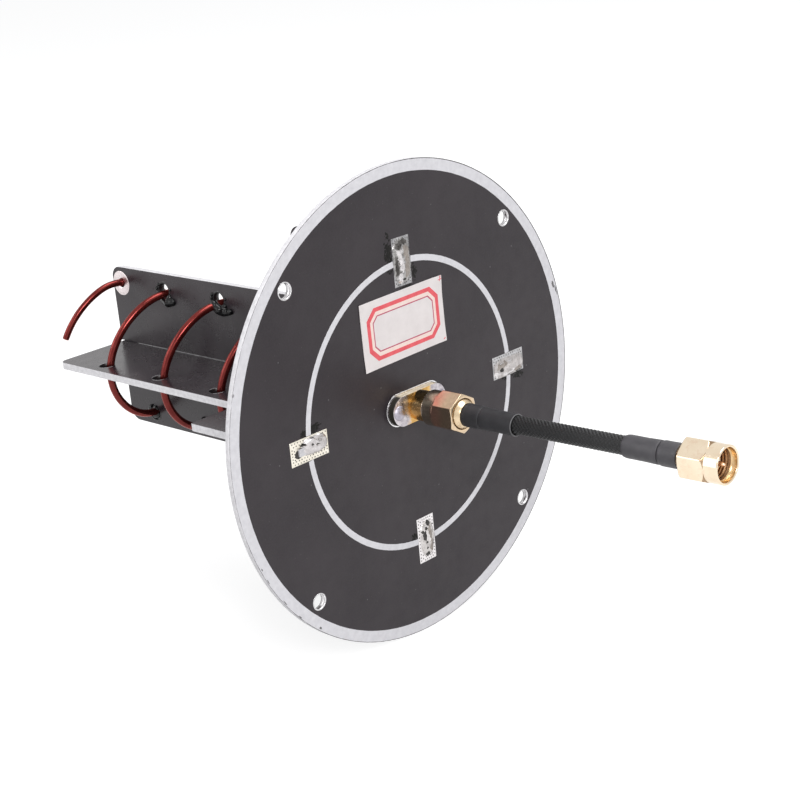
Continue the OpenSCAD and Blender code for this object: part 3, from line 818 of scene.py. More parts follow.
def make_solder():
    points, faces, owners = [], [], []
    columns, rows = 97, 57
    for number, name in enumerate(JOINTS):
        start = len(points)
        heights = []
        for j in range(rows):
            for i in range(columns):
                s, t = sheet_place(i, j, columns, rows, SOLDER_LENGTH, SOLDER_WIDTH)
                heights.append(solder_height(name, s, t))
                points.append(pad_point(PAD_WAYS[name], s, t, heights[-1]))
        for face in grid_faces(rows, columns):
            if max(heights[k] for k in face) > 0:
                faces.append(tuple(start + k for k in face))
                i, j = face[0] % columns + 0.5, face[0] // columns + 0.5
                patch = patch_number(name, *sheet_place(i, j, columns, rows, SOLDER_LENGTH, SOLDER_WIDTH))
                owners.append(number if patch is None else patch)
    piece = mesh_piece("solder_joints", points, faces, "solder", "tab_solder")
    number_faces(piece, owners)
    draft = bmesh.new()
    draft.from_mesh(piece.data)
    bmesh.ops.delete(draft, geom=[v for v in draft.verts if not v.link_faces], context="VERTS")
    draft.to_mesh(piece.data)
    draft.free()


def make_mouths():
    parts = []
    for name, places in SHADE_MOUTHS.items():
        for number, (s0, t0, half_s, half_t, wander) in enumerate(places):

            def mouth_point(share, lift, a):
                ragged = 1 + wander * wobble(a, 1.5, number * 4, s0)
                s = s0 + half_s * share * ragged * math.cos(a)
                t = t0 + half_t * share * ragged * math.sin(a)
                return pad_point(PAD_WAYS[name], s, t, max(solder_height(name, s, t), 0.06) + lift)

            parts.append(stack(((1.0, -0.01), (0.94, 0.03), (0.7, 0.025), (0.35, 0.02)), 40, mouth_point))
    # The dark discs paint the shade in open slot ends and pits
    mesh_piece("slot_mouths", *join(parts), "solder")


def sheet_rim(rows, columns):
    """Numbers of the points round the rim of a sheet that is listed row by row."""
    rim = list(range(columns))
    rim += [j * columns + columns - 1 for j in range(1, rows)]
    rim += [(rows - 1) * columns + i for i in range(columns - 2, -1, -1)]
    return rim + [j * columns for j in range(rows - 2, 0, -1)]


def sheet_place(i, j, columns, rows, length, width):
    """The place of a sheet's point, from the sheet's middle."""
    return -length / 2 + length * i / (columns - 1), -width / 2 + width * j / (rows - 1)


def make_pad(name, seed):
    columns, rows = 61, 31
    points = []
    for j in range(rows):
        for i in range(columns):
            s, t = sheet_place(i, j, columns, rows, PAD_LENGTH, PAD_WIDTH)
            edge = min(PAD_LENGTH / 2 - abs(s), PAD_WIDTH / 2 - abs(t))
            swell = 0.035 + 0.02 * uneven(s * 1.3 + seed, t * 1.3, 0) * smoothstep(0, 0.4, edge)
            points.append(pad_point(PAD_WAYS[name], s, t, swell * smoothstep(-0.02, 0.12, edge) + 0.012))
    faces = grid_faces(rows, columns)
    rim = sheet_rim(rows, columns)
    under = range(len(points), len(points) + len(rim))
    points += [Vector((points[k].x, 0.01, points[k].z)) for k in rim]
    for i, k in enumerate(rim):
        m = (i + 1) % len(rim)
        faces.append((k, rim[m], under[m], under[i]))
    faces.append(tuple(under))
    mesh_piece("pad_" + name, points, faces, "solder")


def pad_vias():
    """Places of the small plated holes round a slot: two staggered rows on its sides, more at its ends."""
    places = []
    for row, t in enumerate((-2.1, -1.5, 1.5, 2.1)):
        along = [-4.55 + 0.37 * (row % 2) + 0.75 * i for i in range(13)]
        places += [(s, t) for s in along if s < 4.7]
    for s in (-4.55, -3.95, 3.95, 4.55):
        across = [-0.9 + (0.3 if abs(s) < 4.2 else 0.0) + 0.6 * i for i in range(4)]
        places += [(s, t) for t in across if abs(t) < 1.2]
    return places


def make_vias(name, seed):
    """Dark dished discs that paint the shade in a pad's small holes, where no solder covers them."""
    parts = []
    for number, (s0, t0) in enumerate(pad_vias()):
        jitter = noise.noise_vector(Vector((number * 1.37, seed, 2.5)))
        s, t, radius = s0 + 0.08 * jitter.x, t0 + 0.08 * jitter.y, 0.15 + 0.035 * jitter.z
        if solder_height(name, s, t) > 0.06:
            continue

        def via_point(share, height, a):
            r = radius * share
            return pad_point(PAD_WAYS[name], s + r * math.cos(a), t + r * math.sin(a), height)

        parts.append(stack(((1.0, 0.052), (0.9, 0.066), (0.6, 0.06)), 10, via_point))
    mesh_piece("vias_" + name, *join(parts), "solder")


make_print()
make_nicks()
make_flux()
make_mouths()
for pad_number, pad_name in enumerate(PAD_WAYS):
    make_pad(pad_name, pad_number * 13.0)
    make_vias(pad_name, pad_number * 7.0)
make_solder()

# Tinned rims of holes, as (distance along the hole's axis, radius)
EYELET = [
    (0.035, 1.55), (0.05, 1.6), (0.05, 1.74), (0.02, 1.8), (-0.01, 1.8), (-0.01, 1.6),
    (-1.19, 1.6), (-1.19, 1.8), (-1.22, 1.8), (-1.25, 1.74), (-1.25, 1.6), (-1.235, 1.55),
]
END_RING = [
    (-0.3, 1.75), (-0.3, 1.1), (-0.12, 1.02), (-0.02, 1.1), (0.03, 1.4), (0.06, 1.9),
    (0.05, 2.8), (0.02, 2.92), (-0.01, 2.96), (-0.05, 2.96), (-0.05, 1.75),
]
RIM_HOLE_CIRCLE, END_HOLE_PLACE = 45, 92.5


def make_eyelets():
    """Tinned rings round the rim holes, with their plated walls."""
    parts = []
    for a in (45, 135, 225, 315):
        x, z = RIM_HOLE_CIRCLE * math.cos(math.radians(a)), RIM_HOLE_CIRCLE * math.sin(math.radians(a))
        parts.append(lathe(Axis((x, 0, z), (0, -1, 0)), EYELET, 48))
    mesh_piece("rim_eyelets", *join(parts), "solder")


def make_end_ring():
    """The tinned ring round the wire's last hole in the upright board, on both of its faces."""
    parts = []
    for side in (-1, 1):
        axis = Axis((side * HALF_BOARD, END_HOLE_PLACE, UPPER_HOLE), (side, 0, 0), (0, 1, 0))
        parts.append(lathe(axis, END_RING, 56, lambda u, r, a: 0.06 * wobble(a, 2, 0, r)))
    mesh_piece("end_hole_ring", *join(parts), "solder")


make_eyelets()
make_end_ring()


# Label: a slightly lifted paper sheet and its printed border

LABEL_WIDTH, LABEL_HEIGHT, LABEL_THICK, LABEL_TILT = 24, 14, 0.09, math.radians(1)
LABEL_MIDDLE = Vector((-1.1, 0, 17.35))
# How far each corner of the label is lifted
LABEL_LIFTS = ((24, 14, 0.22), (24, 0, 0.14), (0, 14, 0.08), (0, 0, 0.1))
BORDER_MIDDLE, INK_UNDER, INK_TOP = (12.14, 7.0), 0.06, 0.1
# Small red cut marks left at the label's right corners
FLECKS = [
    [(23.5, 13.95), (23.8, 13.95), (23.55, 12.9), (23.35, 12.8)],
    [(22.9, 13.25), (23.95, 13.35), (23.95, 13.15), (22.95, 13.1)],
    [(23.1, 0.55), (23.6, 0.85), (23.75, 0.7), (23.3, 0.4)],
]
# Octagons of the border, from the outside in: half width, half height and the corners' cut
BORDER_OUTER, BORDER_INNER = (10.5, 5.45, 2.25), (9.58, 4.6, 1.85)
LINE_OUTER, LINE_INNER = (8.85, 3.78, 1.3), (8.6, 3.54, 1.22)


def label_point(a, b, height):
    corner = 0
    for ca, cb, most in LABEL_LIFTS:
        corner += most * smoothstep(5.5, 0, math.hypot(a - ca, b - cb)) ** 2
    lift = 0.015 + corner + 0.02 * (1 + uneven(a * 0.16, b * 0.2, 4.2))
    x, z = a - LABEL_WIDTH / 2, b - LABEL_HEIGHT / 2
    c, s = math.cos(LABEL_TILT), math.sin(LABEL_TILT)
    return LABEL_MIDDLE + Vector((x * c - z * s, -(lift + height), x * s + z * c))


def make_label():
    columns, rows = 73, 43
    points = []
    for height in (LABEL_THICK, 0.0):
        for j in range(rows):
            b = LABEL_HEIGHT * j / (rows - 1)
            points += [label_point(LABEL_WIDTH * i / (columns - 1), b, height) for i in range(columns)]
    back = rows * columns
    faces = grid_faces(rows, columns) + grid_faces(rows, columns, start=back)
    rim = sheet_rim(rows, columns)
    faces += [(k, m, back + m, back + k) for k, m in zip(rim, rim[1:] + rim[:1])]
    sharpen(mesh_piece("label_sheet", points, faces, "paper", "label"), 60)


def octagon(half_width, half_height, cut, steps=14):
    """Points round a rectangle with cut corners, in the label's own millimetres."""
    w, h, c = half_width, half_height, cut
    corners = [(w, h - c), (w - c, h), (c - w, h), (-w, h - c)]
    corners += [(-x, -z) for x, z in corners]
    loop = []
    for (x0, z0), (x1, z1) in zip(corners, corners[1:] + corners[:1]):
        for t in (i / steps for i in range(steps)):
            loop.append((BORDER_MIDDLE[0] + x0 + (x1 - x0) * t, BORDER_MIDDLE[1] + z0 + (z1 - z0) * t))
    return loop


def border(outer, inner, height):
    points = []
    for low, high in zip(octagon(*inner), octagon(*outer)):
        points += [label_point(*low, INK_UNDER), label_point(*low, height)]
        points += [label_point(*high, height), label_point(*high, INK_UNDER)]
    return points, grid_faces(len(points) // 4, 4, wrap=True, close=True)


def fleck(mark):
    points = [label_point(a, b, height) for height in (INK_TOP, INK_UNDER) for a, b in mark]
    return points, grid_faces(2, 4, wrap=True, caps=True)


make_label()
red_parts = [border(BORDER_OUTER, BORDER_INNER, INK_TOP)] + [fleck(mark) for mark in FLECKS]
mesh_piece("label_border", *join(red_parts), "paper", smooth=False)
mesh_piece("label_line", *border(LINE_OUTER, LINE_INNER, INK_TOP), "paper", smooth=False)
mesh_piece("label_band", *border(BORDER_INNER, LINE_OUTER, INK_TOP - 0.004), "paper", smooth=False)


# Materials: every one has its own grain, unevenness and wear

looks = {}


class Nodes:
    """Shader nodes: most methods add some and give the socket with their result."""

    def __init__(self, tree):
        self.tree = tree

    def plug(self, socket, value):
        if isinstance(value, bpy.types.NodeSocket):
            self.tree.links.new(value, socket)
        else:
            socket.default_value = value

    def fill(self, node, sockets):
        for key, value in sockets.items():
            self.plug(node.inputs[key.replace("_", " ")], value)

    def add(self, kind, **sockets):
        made = self.tree.nodes.new(kind)
        self.fill(made, sockets)
        return made

    def span(self, value, low, high, to_low, to_high):
        ends = {"From_Min": low, "From_Max": high, "To_Min": to_low, "To_Max": to_high}
        return self.add("ShaderNodeMapRange", Value=value, **ends).outputs["Result"]

    def blend(self, share, first, second):
        made = self.add("ShaderNodeMix")
        made.data_type = "RGBA"
        self.plug(made.inputs[0], share)
        for socket, value in ((made.inputs[6], first), (made.inputs[7], second)):
            self.plug(socket, value if isinstance(value, bpy.types.NodeSocket) else (*value, 1))
        return made.outputs[2]

    def work(self, operation, *values):
        made = self.add("ShaderNodeMath")
        made.operation = operation
        for socket, value in zip(made.inputs, values):
            self.plug(socket, value)
        return made.outputs[0]


class Look(Nodes):
    """A material in the making, on its piece's own coordinates in metres; sizes are given per millimetre."""

    def __init__(self, name):
        material = bpy.data.materials.new(name)
        material.use_nodes = True
        super().__init__(material.node_tree)
        self.shader = self.tree.nodes["Principled BSDF"]
        self.where = self.add("ShaderNodeTexCoord").outputs["Object"]
        looks[name] = material

    def along(self, axis):
        return self.add("ShaderNodeSeparateXYZ", Vector=self.where).outputs[axis]

    def grain(self, per_mm, detail=3.0, rough=0.55, distortion=0.0):
        kind = {"Scale": per_mm / MM, "Detail": detail, "Roughness": rough, "Distortion": distortion}
        return self.add("ShaderNodeTexNoise", Vector=self.where, **kind).outputs["Fac"]

    def vary(self, per_mm, low=0.0, high=1.0, start=0.3, end=0.7, detail=4.0, **kind):
        """Grain that is stretched from low to high."""
        return self.span(self.grain(per_mm, detail, **kind), start, end, low, high)

    def wander(self, value, per_mm, reach):
        """A place that grain moves to and fro, over a reach in millimetres."""
        shift = self.work("MULTIPLY_ADD", self.grain(per_mm, 4.0), reach * MM, -reach / 2 * MM)
        return self.work("ADD", value, shift)

    def relief(self, height, depth_mm, strength=1.0, below=None):
        made = self.add("ShaderNodeBump", Strength=strength, Distance=depth_mm * MM, Height=height)
        if below:
            self.plug(made.inputs["Normal"], below)
        return made.outputs["Normal"]

    def specks(self, per_mm, size, share):
        """Small spots, 1 inside: cells of a pattern, kept at random."""
        cells = self.add("ShaderNodeTexVoronoi", Vector=self.where, Scale=per_mm / MM)
        inside = self.span(cells.outputs["Distance"], size * 0.6, size, 1.0, 0.0)
        parts = self.add("ShaderNodeSeparateColor", Color=cells.outputs["Color"])
        return self.work("MULTIPLY", inside, self.work("LESS_THAN", parts.outputs[0], share))

    def spotted(self, colour, spot, strength, *cells):
        """A colour with specks of another."""
        return self.blend(self.work("MULTIPLY", self.specks(*cells), strength), colour, spot)

    def surface(self, **sockets):
        self.fill(self.shader, sockets)

    def finish(self, colour, rough, relief_per_mm, depth_mm, detail=3.0, **sockets):
        """Sets the colour, the roughness, a fine relief and any other socket."""
        normal = self.relief(self.grain(relief_per_mm, detail), depth_mm)
        self.surface(Base_Color=colour, Roughness=rough, Normal=normal, **sockets)


def plain_look(name, dark, light, per_mm, rough, depth, depth_per_mm=8.0, specular=0.5):
    """A material whose colour, roughness and relief vary with its grain."""
    look = Look(name)
    colour = look.blend(look.vary(per_mm, detail=3.0), dark, light)
    roughness = look.vary(per_mm * 2.3, *rough)
    look.finish(colour, roughness, depth_per_mm, depth, 4.0, Specular_IOR_Level=specular)


def metal_look(name, dark, light, rough, per_mm, tarnish=None, depth=0.004, depth_per_mm=4.0):
    look = Look(name)
    colour = look.blend(look.vary(per_mm), dark, light)
    if tarnish:
        patch = look.vary(per_mm * 2.6, 0.0, 0.8, 0.52, 0.72, rough=0.6, distortion=0.4)
        colour = look.blend(patch, colour, tarnish)
    look.finish(colour, look.vary(per_mm * 4, *rough), depth_per_mm, depth, Metallic=1.0)


MASK_DARK, MASK_LIGHT, MASK_FINE = (0.0155, 0.011, 0.0145), (0.026, 0.02, 0.024), (0.033, 0.0265, 0.031)
EDGE_DARK, EDGE_LIGHT, EDGE_PLY = (0.56, 0.55, 0.57), (0.72, 0.71, 0.73), (0.45, 0.44, 0.46)
DUST = (0.16, 0.155, 0.16)


def board_look(name, axis, middle, gloss, specular, dusty=0.22):
    """Black mask on a board's faces, pale laminate on its cut edges; axis is 0, 1 or 2 for X, Y or Z."""
    look = Look(name)
    normal = look.add("ShaderNodeNewGeometry").outputs["Normal"]
    facing = look.add("ShaderNodeSeparateXYZ", Vector=normal).outputs[axis]
    edge = look.work("LESS_THAN", look.work("ABSOLUTE", facing), 0.8)

    mask = look.blend(look.vary(0.06, start=0.35, end=0.65, rough=0.6), MASK_DARK, MASK_LIGHT)
    mask = look.blend(look.vary(2.5, 0.0, 0.35, 0.35, 0.65, detail=2.0), mask, MASK_FINE)
    dust = look.work("MULTIPLY", look.specks(0.42, 0.085, dusty), 0.5)
    lint = look.work("MULTIPLY", look.specks(1.3, 0.12, 0.16), 0.3)
    dirt = look.work("MAXIMUM", dust, lint)
    mask = look.blend(dirt, mask, DUST)

    side = look.blend(look.vary(1.1, start=0.35, end=0.65, detail=5.0, rough=0.7), EDGE_DARK, EDGE_LIGHT)
    apart = look.work("ABSOLUTE", look.work("SUBTRACT", look.along(axis), middle * MM))
    side = look.blend(look.span(apart, 0.03 * MM, 0.09 * MM, 0.25, 0.0), side, EDGE_PLY)

    look.surface(
        Base_Color=look.blend(edge, mask, side),
        Roughness=look.work("MAXIMUM", look.vary(0.35, *gloss), look.work("MULTIPLY", edge, 0.62)),
        Specular_IOR_Level=specular,
        Normal=look.relief(dirt, 0.02, 0.6, look.relief(look.grain(6.0), 0.006)),
    )


def print_look(name, dark, light):
    """Printed ink: nearly even, thin in places, with a few nicks that show the board."""
    look = Look(name)
    ink = look.blend(look.vary(0.8), dark, light)
    ink = look.spotted(ink, (0.12, 0.12, 0.125), 0.8, 0.21, 0.1, 0.12)
    look.finish(ink, look.vary(3.0, 0.42, 0.6, detail=3.0), 5.0, 0.008)


def shaded_gold(name, axis, stops, rough):
    """Gold plate whose tone drifts along an axis of the piece, here a painted reflection on the near nut and
    painted shade on the barrel; stops are millimetres and colours.
    """
    look = Look(name)
    along = look.wander(look.along(axis), 0.6, 1.2)
    colour = stops[0][1]
    for (low, _), (high, next_colour) in zip(stops, stops[1:]):
        colour = look.blend(look.span(along, low * MM, high * MM, 0.0, 1.0), colour, next_colour)
    patch = look.vary(1.3, 0.85, 1.1, rough=0.6, distortion=0.4)
    shade = look.add("ShaderNodeHueSaturation", Value=patch, Color=colour).outputs[0]
    look.finish(shade, look.vary(1.6, *rough), 1.5, 0.0015, Metallic=1.0)


def flange_look():
    """Gold plate that a film of solder has greyed at both ends of the flange."""
    look = Look("flange_face")
    across = look.wander(look.work("ABSOLUTE", look.along(0)), 0.8, 2.4)
    amber = look.blend(look.vary(0.6), (0.5, 0.28, 0.08), (0.78, 0.52, 0.2))
    grey = look.blend(look.vary(1.1), (0.36, 0.33, 0.36), (0.66, 0.62, 0.64))
    colour = look.blend(look.span(across, 2.9 * MM, 3.8 * MM, 0.0, 1.0), amber, grey)
    look.finish(colour, look.vary(2.0, 0.2, 0.36), 1.4, 0.02, Metallic=1.0)


def flange_side_look():
    """Rough pale gold along the flange's flats, with painted shade that darkens it nearly to black round its
    ends.
    """
    look = Look("flange_side")
    across = look.wander(look.work("ABSOLUTE", look.along(0)), 1.2, 0.8)
    # Painted shade at the flange's round ends
    end_shade = look.span(across, 4.9 * MM, 5.6 * MM, 0.0, 0.97)
    cream = look.blend(look.vary(0.8), (0.66, 0.55, 0.4), (0.86, 0.77, 0.62))
    colour = look.blend(end_shade, cream, (0.012, 0.011, 0.01))
    look.finish(colour, look.vary(1.8, 0.4, 0.55), 2.0, 0.02, 4.0, Metallic=0.3, Specular_IOR_Level=0.3)


def wire_look():
    """Red-brown enamel over copper: darker scuffs across the wire, a clear coat on top."""
    look = Look("enamel")
    colour = look.blend(look.vary(0.25, start=0.35, end=0.65), (0.11, 0.011, 0.01), (0.18, 0.026, 0.022))
    colour = look.blend(look.vary(0.7, 0.0, 0.7, 0.66, 0.74, rough=0.6), colour, (0.05, 0.01, 0.009))
    colour = look.spotted(colour, (0.55, 0.2, 0.11), 0.5, 0.5, 0.09, 0.12)
    coat = {"Specular_Tint": (0.85, 0.42, 0.38, 1), "Coat_Weight": 0.12, "Coat_Roughness": 0.12}
    look.finish(colour, look.vary(1.5, 0.17, 0.25), 0.8, 0.006, 2.0, Metallic=0.75, **coat)


def braid_look():
    """Black yarn with fine threads and a faint sheen."""
    look = Look("braid")
    colour = look.blend(look.vary(1.6, detail=3.0), (0.003, 0.003, 0.0034), (0.008, 0.008, 0.009))
    colour = look.spotted(colour, (0.3, 0.3, 0.3), 0.6, 0.5, 0.06, 0.08)
    look.finish(colour, look.vary(6.0, 0.28, 0.42, detail=3.0), 14.0, 0.012, 2.0, Specular_IOR_Level=0.4)


def paper_look():
    look = Look("paper")
    colour = look.blend(look.vary(0.3, detail=5.0, rough=0.6), (0.74, 0.69, 0.685), (0.82, 0.77, 0.765))
    colour = look.spotted(colour, (0.6, 0.56, 0.54), 0.3, 1.2, 0.12, 0.1)
    look.finish(colour, look.vary(4.0, 0.55, 0.7, detail=3.0), 9.0, 0.012, 4.0)


# Metals: dark and light colour, roughness, grain per millimetre, tarnish, the relief's depth and grain
METALS = {
    "gold_plate": (
        (0.78, 0.64, 0.47), (0.86, 0.73, 0.56), (0.115, 0.135), 0.2, (0.76, 0.57, 0.42), 0.0008, 0.8,
    ),
    # Painted shade on the nuts' cone-cut corners
    "gold_shade": ((0.26, 0.17, 0.1), (0.44, 0.31, 0.2), (0.25, 0.4), 0.8, (0.2, 0.13, 0.08)),
    # Painted shade: darker gold on the free nut's thread inside its bore
    "gold_deep": ((0.48, 0.31, 0.18), (0.64, 0.44, 0.27), (0.32, 0.46), 0.6, (0.38, 0.24, 0.13)),
    "gold_worn": ((0.56, 0.38, 0.19), (0.74, 0.54, 0.3), (0.18, 0.34), 0.5, (0.5, 0.42, 0.36)),
    "gold_ring": ((0.62, 0.48, 0.31), (0.78, 0.62, 0.42), (0.2, 0.32), 0.5, (0.5, 0.36, 0.22)),
    # Painted shade: darker gold at the entry of the free nut's bore
    "gold_inner": ((0.62, 0.42, 0.21), (0.78, 0.57, 0.33), (0.22, 0.3), 0.4, (0.5, 0.32, 0.15), 0.001, 1.0),
    "pin_gold": ((0.8, 0.5, 0.34), (0.9, 0.62, 0.44), (0.2, 0.34), 1.0),
    "rivet_metal": ((0.34, 0.32, 0.37), (0.5, 0.47, 0.53), (0.3, 0.45), 0.8, (0.28, 0.25, 0.28), 0.03),
    "spring_metal": ((0.5, 0.48, 0.42), (0.62, 0.6, 0.54), (0.25, 0.4), 1.0),
    "copper_end": ((0.5, 0.2, 0.14), (0.66, 0.3, 0.22), (0.3, 0.5), 1.2, (0.3, 0.07, 0.05), 0.03),
    "solder": ((0.4, 0.39, 0.38), (0.66, 0.65, 0.64), (0.2, 0.4), 0.8, (0.3, 0.28, 0.25), 0.03, 2.6),
    "joint_left": ((0.42, 0.4, 0.4), (0.66, 0.63, 0.63), (0.2, 0.36), 0.6, (0.34, 0.31, 0.3), 0.03, 2.0),
    "joint_right": ((0.36, 0.34, 0.34), (0.58, 0.55, 0.54), (0.25, 0.42), 0.7, (0.26, 0.23, 0.21), 0.04, 2.4),
    "joint_top": ((0.2, 0.195, 0.19), (0.48, 0.47, 0.465), (0.14, 0.3), 0.9, (0.12, 0.11, 0.105), 0.05, 2.4),
    "joint_bottom": (
        (0.4, 0.375, 0.365), (0.7, 0.67, 0.66), (0.2, 0.36), 0.6, (0.26, 0.24, 0.225), 0.03, 2.2,
    ),
    # Painted highlight on the solder joints
    "joint_bright": ((0.5, 0.48, 0.485), (0.78, 0.755, 0.76), (0.2, 0.34), 0.9, (0.4, 0.38, 0.38), 0.03, 2.0),
    "joint_tan": (
        (0.22, 0.195, 0.175), (0.36, 0.325, 0.3), (0.25, 0.4), 0.8, (0.16, 0.135, 0.115), 0.04, 2.4,
    ),
    # Painted shade on the solder joints
    "joint_dark": (
        (0.07, 0.066, 0.062), (0.2, 0.19, 0.185), (0.2, 0.36), 0.9, (0.03, 0.027, 0.025), 0.05, 2.6,
    ),
    "end_tin": ((0.74, 0.73, 0.74), (0.9, 0.89, 0.9), (0.2, 0.34), 0.7, (0.5, 0.47, 0.46), 0.03),
    "ring_tin": ((0.6, 0.54, 0.54), (0.74, 0.67, 0.67), (0.2, 0.34), 0.7, (0.42, 0.38, 0.37), 0.03),
    "eyelet_tin": ((0.5, 0.49, 0.5), (0.74, 0.73, 0.74), (0.2, 0.36), 0.9, (0.3, 0.29, 0.29), 0.02),
    "pad_tin_left": ((0.76, 0.71, 0.61), (0.87, 0.83, 0.74), (0.3, 0.48), 0.6, (0.7, 0.66, 0.58), 0.015),
    "pad_tin_right": ((0.4, 0.395, 0.4), (0.56, 0.555, 0.57), (0.3, 0.48), 0.9, (0.3, 0.29, 0.29), 0.02),
    "pad_tin_top": ((0.22, 0.22, 0.225), (0.5, 0.49, 0.5), (0.22, 0.42), 1.1, (0.12, 0.115, 0.11), 0.02),
    "pad_tin_bottom": ((0.72, 0.69, 0.695), (0.84, 0.81, 0.815), (0.3, 0.48), 0.6, (0.64, 0.61, 0.61), 0.015),
}
# Others: dark and light colour, grain per millimetre, roughness, the relief's depth and grain, specular level
PLAINS = {
    "mouth_painted_shade": ((0.012, 0.011, 0.01), (0.06, 0.055, 0.05), 1.4, (0.3, 0.5), 0.02, 8.0, 0.3),
    # Painted shade in the pads' small holes
    "via_painted_shade": ((0.05, 0.046, 0.042), (0.14, 0.13, 0.12), 2.0, (0.4, 0.6), 0.01),
    "glue": ((0.004, 0.004, 0.0045), (0.01, 0.01, 0.011), 0.8, (0.08, 0.2), 0.03, 1.5, 0.3),
    # Painted shade: the near tubes are darker than the far ones for the dark reflector they face
    "shrink": ((0.016, 0.0155, 0.018), (0.026, 0.0255, 0.029), 0.4, (0.42, 0.56), 0.012, 5.0),
    "tube_edge": ((0.07, 0.068, 0.072), (0.15, 0.147, 0.153), 1.2, (0.35, 0.5), 0.01),
    "shrink_far": ((0.034, 0.032, 0.037), (0.05, 0.047, 0.053), 0.4, (0.42, 0.56), 0.012, 5.0),
    "flux": ((0.003, 0.0028, 0.0026), (0.009, 0.008, 0.007), 0.8, (0.35, 0.6), 0.01, 8.0, 0.18),
    "pale_chips": ((0.26, 0.25, 0.26), (0.42, 0.41, 0.42), 1.5, (0.5, 0.7), 0.01),
    "nick_grey": ((0.07, 0.068, 0.07), (0.2, 0.195, 0.2), 1.6, (0.5, 0.7), 0.01),
    "seam_pale_line": ((0.1, 0.1, 0.105), (0.24, 0.235, 0.24), 0.8, (0.4, 0.6), 0.01),
    "lining_shade_and_glue": ((0.004, 0.004, 0.0045), (0.014, 0.013, 0.014), 1.2, (0.25, 0.45), 0.02, 2.0),
    "white_insulator": ((0.7, 0.67, 0.62), (0.82, 0.8, 0.76), 0.7, (0.4, 0.55), 0.006),
    "gasket": ((0.3, 0.05, 0.035), (0.44, 0.09, 0.06), 0.9, (0.5, 0.65), 0.01),
    "red_ink": ((0.72, 0.085, 0.11), (0.82, 0.13, 0.15), 0.7, (0.5, 0.65), 0.008, 9.0),
    "wine_ink": ((0.42, 0.06, 0.12), (0.55, 0.1, 0.17), 0.9, (0.5, 0.65), 0.008, 9.0),
    "pink_ink": ((0.87, 0.68, 0.62), (0.92, 0.76, 0.7), 0.7, (0.52, 0.66), 0.008, 9.0),
}
# Tones of the near nut at places along the jumper, whose salmon band is a painted reflection of the red
# label, and of the jack's barrel at places up it, dark at its top as painted shade
NEAR_TONES_PAINTED_REFLECTION = [
    (-11.2, (0.66, 0.51, 0.35)), (-9.4, (0.8, 0.49, 0.36)),
    (-8.0, (0.8, 0.49, 0.36)), (-7.2, (0.55, 0.47, 0.36)),
]
# Painted shade: the barrel goes from amber below to dark brown at its top
BARREL_PAINTED_SHADE = [(-1.4, (0.72, 0.42, 0.14)), (1.2, (0.16, 0.11, 0.05))]

for look_name, values in METALS.items():
    metal_look(look_name, *values)
for look_name, values in PLAINS.items():
    plain_look(look_name, *values)
board_look("reflector_mask", 1, 0.6, (0.34, 0.5), 0.36)
board_look("level_mask", 2, 0.0, (0.2, 0.3), 0.56, 0.6)
board_look("upright_mask", 0, 0.0, (0.24, 0.34), 0.4)
print_look("white_print", (0.64, 0.63, 0.66), (0.74, 0.73, 0.76))
shaded_gold("gold_near", 1, NEAR_TONES_PAINTED_REFLECTION, (0.15, 0.22))
shaded_gold("gold_barrel", 2, BARREL_PAINTED_SHADE, (0.22, 0.36))
flange_look()
flange_side_look()
wire_look()
braid_look()
paper_look()


def dress(carrier, materials):
    """Gives a piece or node its materials; its faces keep the numbers that they have."""
    numbers = [face.material_index for face in carrier.data.polygons]
    carrier.data.materials.clear()
    for material in materials:
        carrier.data.materials.append(material)
    if len(materials) > 1:
        number_faces(carrier, numbers)


# The materials of each node that still shows and of each piece, by number
WORN = {
    "reflector_board": "reflector_mask",
    "level_support_board": "level_mask",
    "upright_support_board": "upright_mask",
    "jack_insulator": "white_insulator",
    "jack_contact": "pin_gold",
    "flange_rivets": "rivet_metal",
    "near_body": "gold_ring",
    "far_body": "gold_worn",
    "cable_jacket": "braid",
    "near_collar_tube": "shrink shrink",
    "near_sleeve_tube": "shrink tube_edge",
    "far_collar_tube": "shrink_far shrink_far",
    "far_sleeve_tube": "shrink_far shrink_far",
    "jack_shell": "flange_face gold_barrel flange_side",
    "flange_pad": "end_tin",
    "free_nut_thread": "gold_inner gold_deep",
    "near_nut_shell": "gold_near gold_shade",
    "far_nut_shell": "gold_plate gold_shade",
    "helix_coil": "enamel copper_end",
    "glue_lumps": "glue",
    "feed_lump": "solder",
    "rim_print": "white_print",
    "rim_nicks": "nick_grey",
    "ring_print": "white_print",
    "flux_stains": "flux",
    "hole_linings": "lining_shade_and_glue",
    "chipped_rims": "pale_chips",
    "seam_lines": "seam_pale_line",
    "solder_joints": "joint_left joint_right joint_top joint_bottom joint_bright joint_tan joint_dark",
    "slot_mouths": "mouth_painted_shade",
    "rim_eyelets": "eyelet_tin",
    "end_hole_ring": "ring_tin",
    "label_sheet": "paper",
    "label_border": "red_ink",
    "label_line": "wine_ink",
    "label_band": "pink_ink",
}
for plug_end in ("near", "far"):
    WORN[plug_end + "_insulator"] = "white_insulator"
    WORN[plug_end + "_pin"] = "pin_gold"
    WORN[plug_end + "_snap_ring"] = "spring_metal"
    WORN[plug_end + "_gasket"] = "gasket"
for pad_name in PAD_WAYS:
    WORN["pad_" + pad_name] = "pad_tin_" + pad_name
    WORN["vias_" + pad_name] = "via_painted_shade"
for worn_by, look_names in WORN.items():
    dress(pieces.get(worn_by) or nodes[worn_by], [looks[name] for name in look_names.split()])

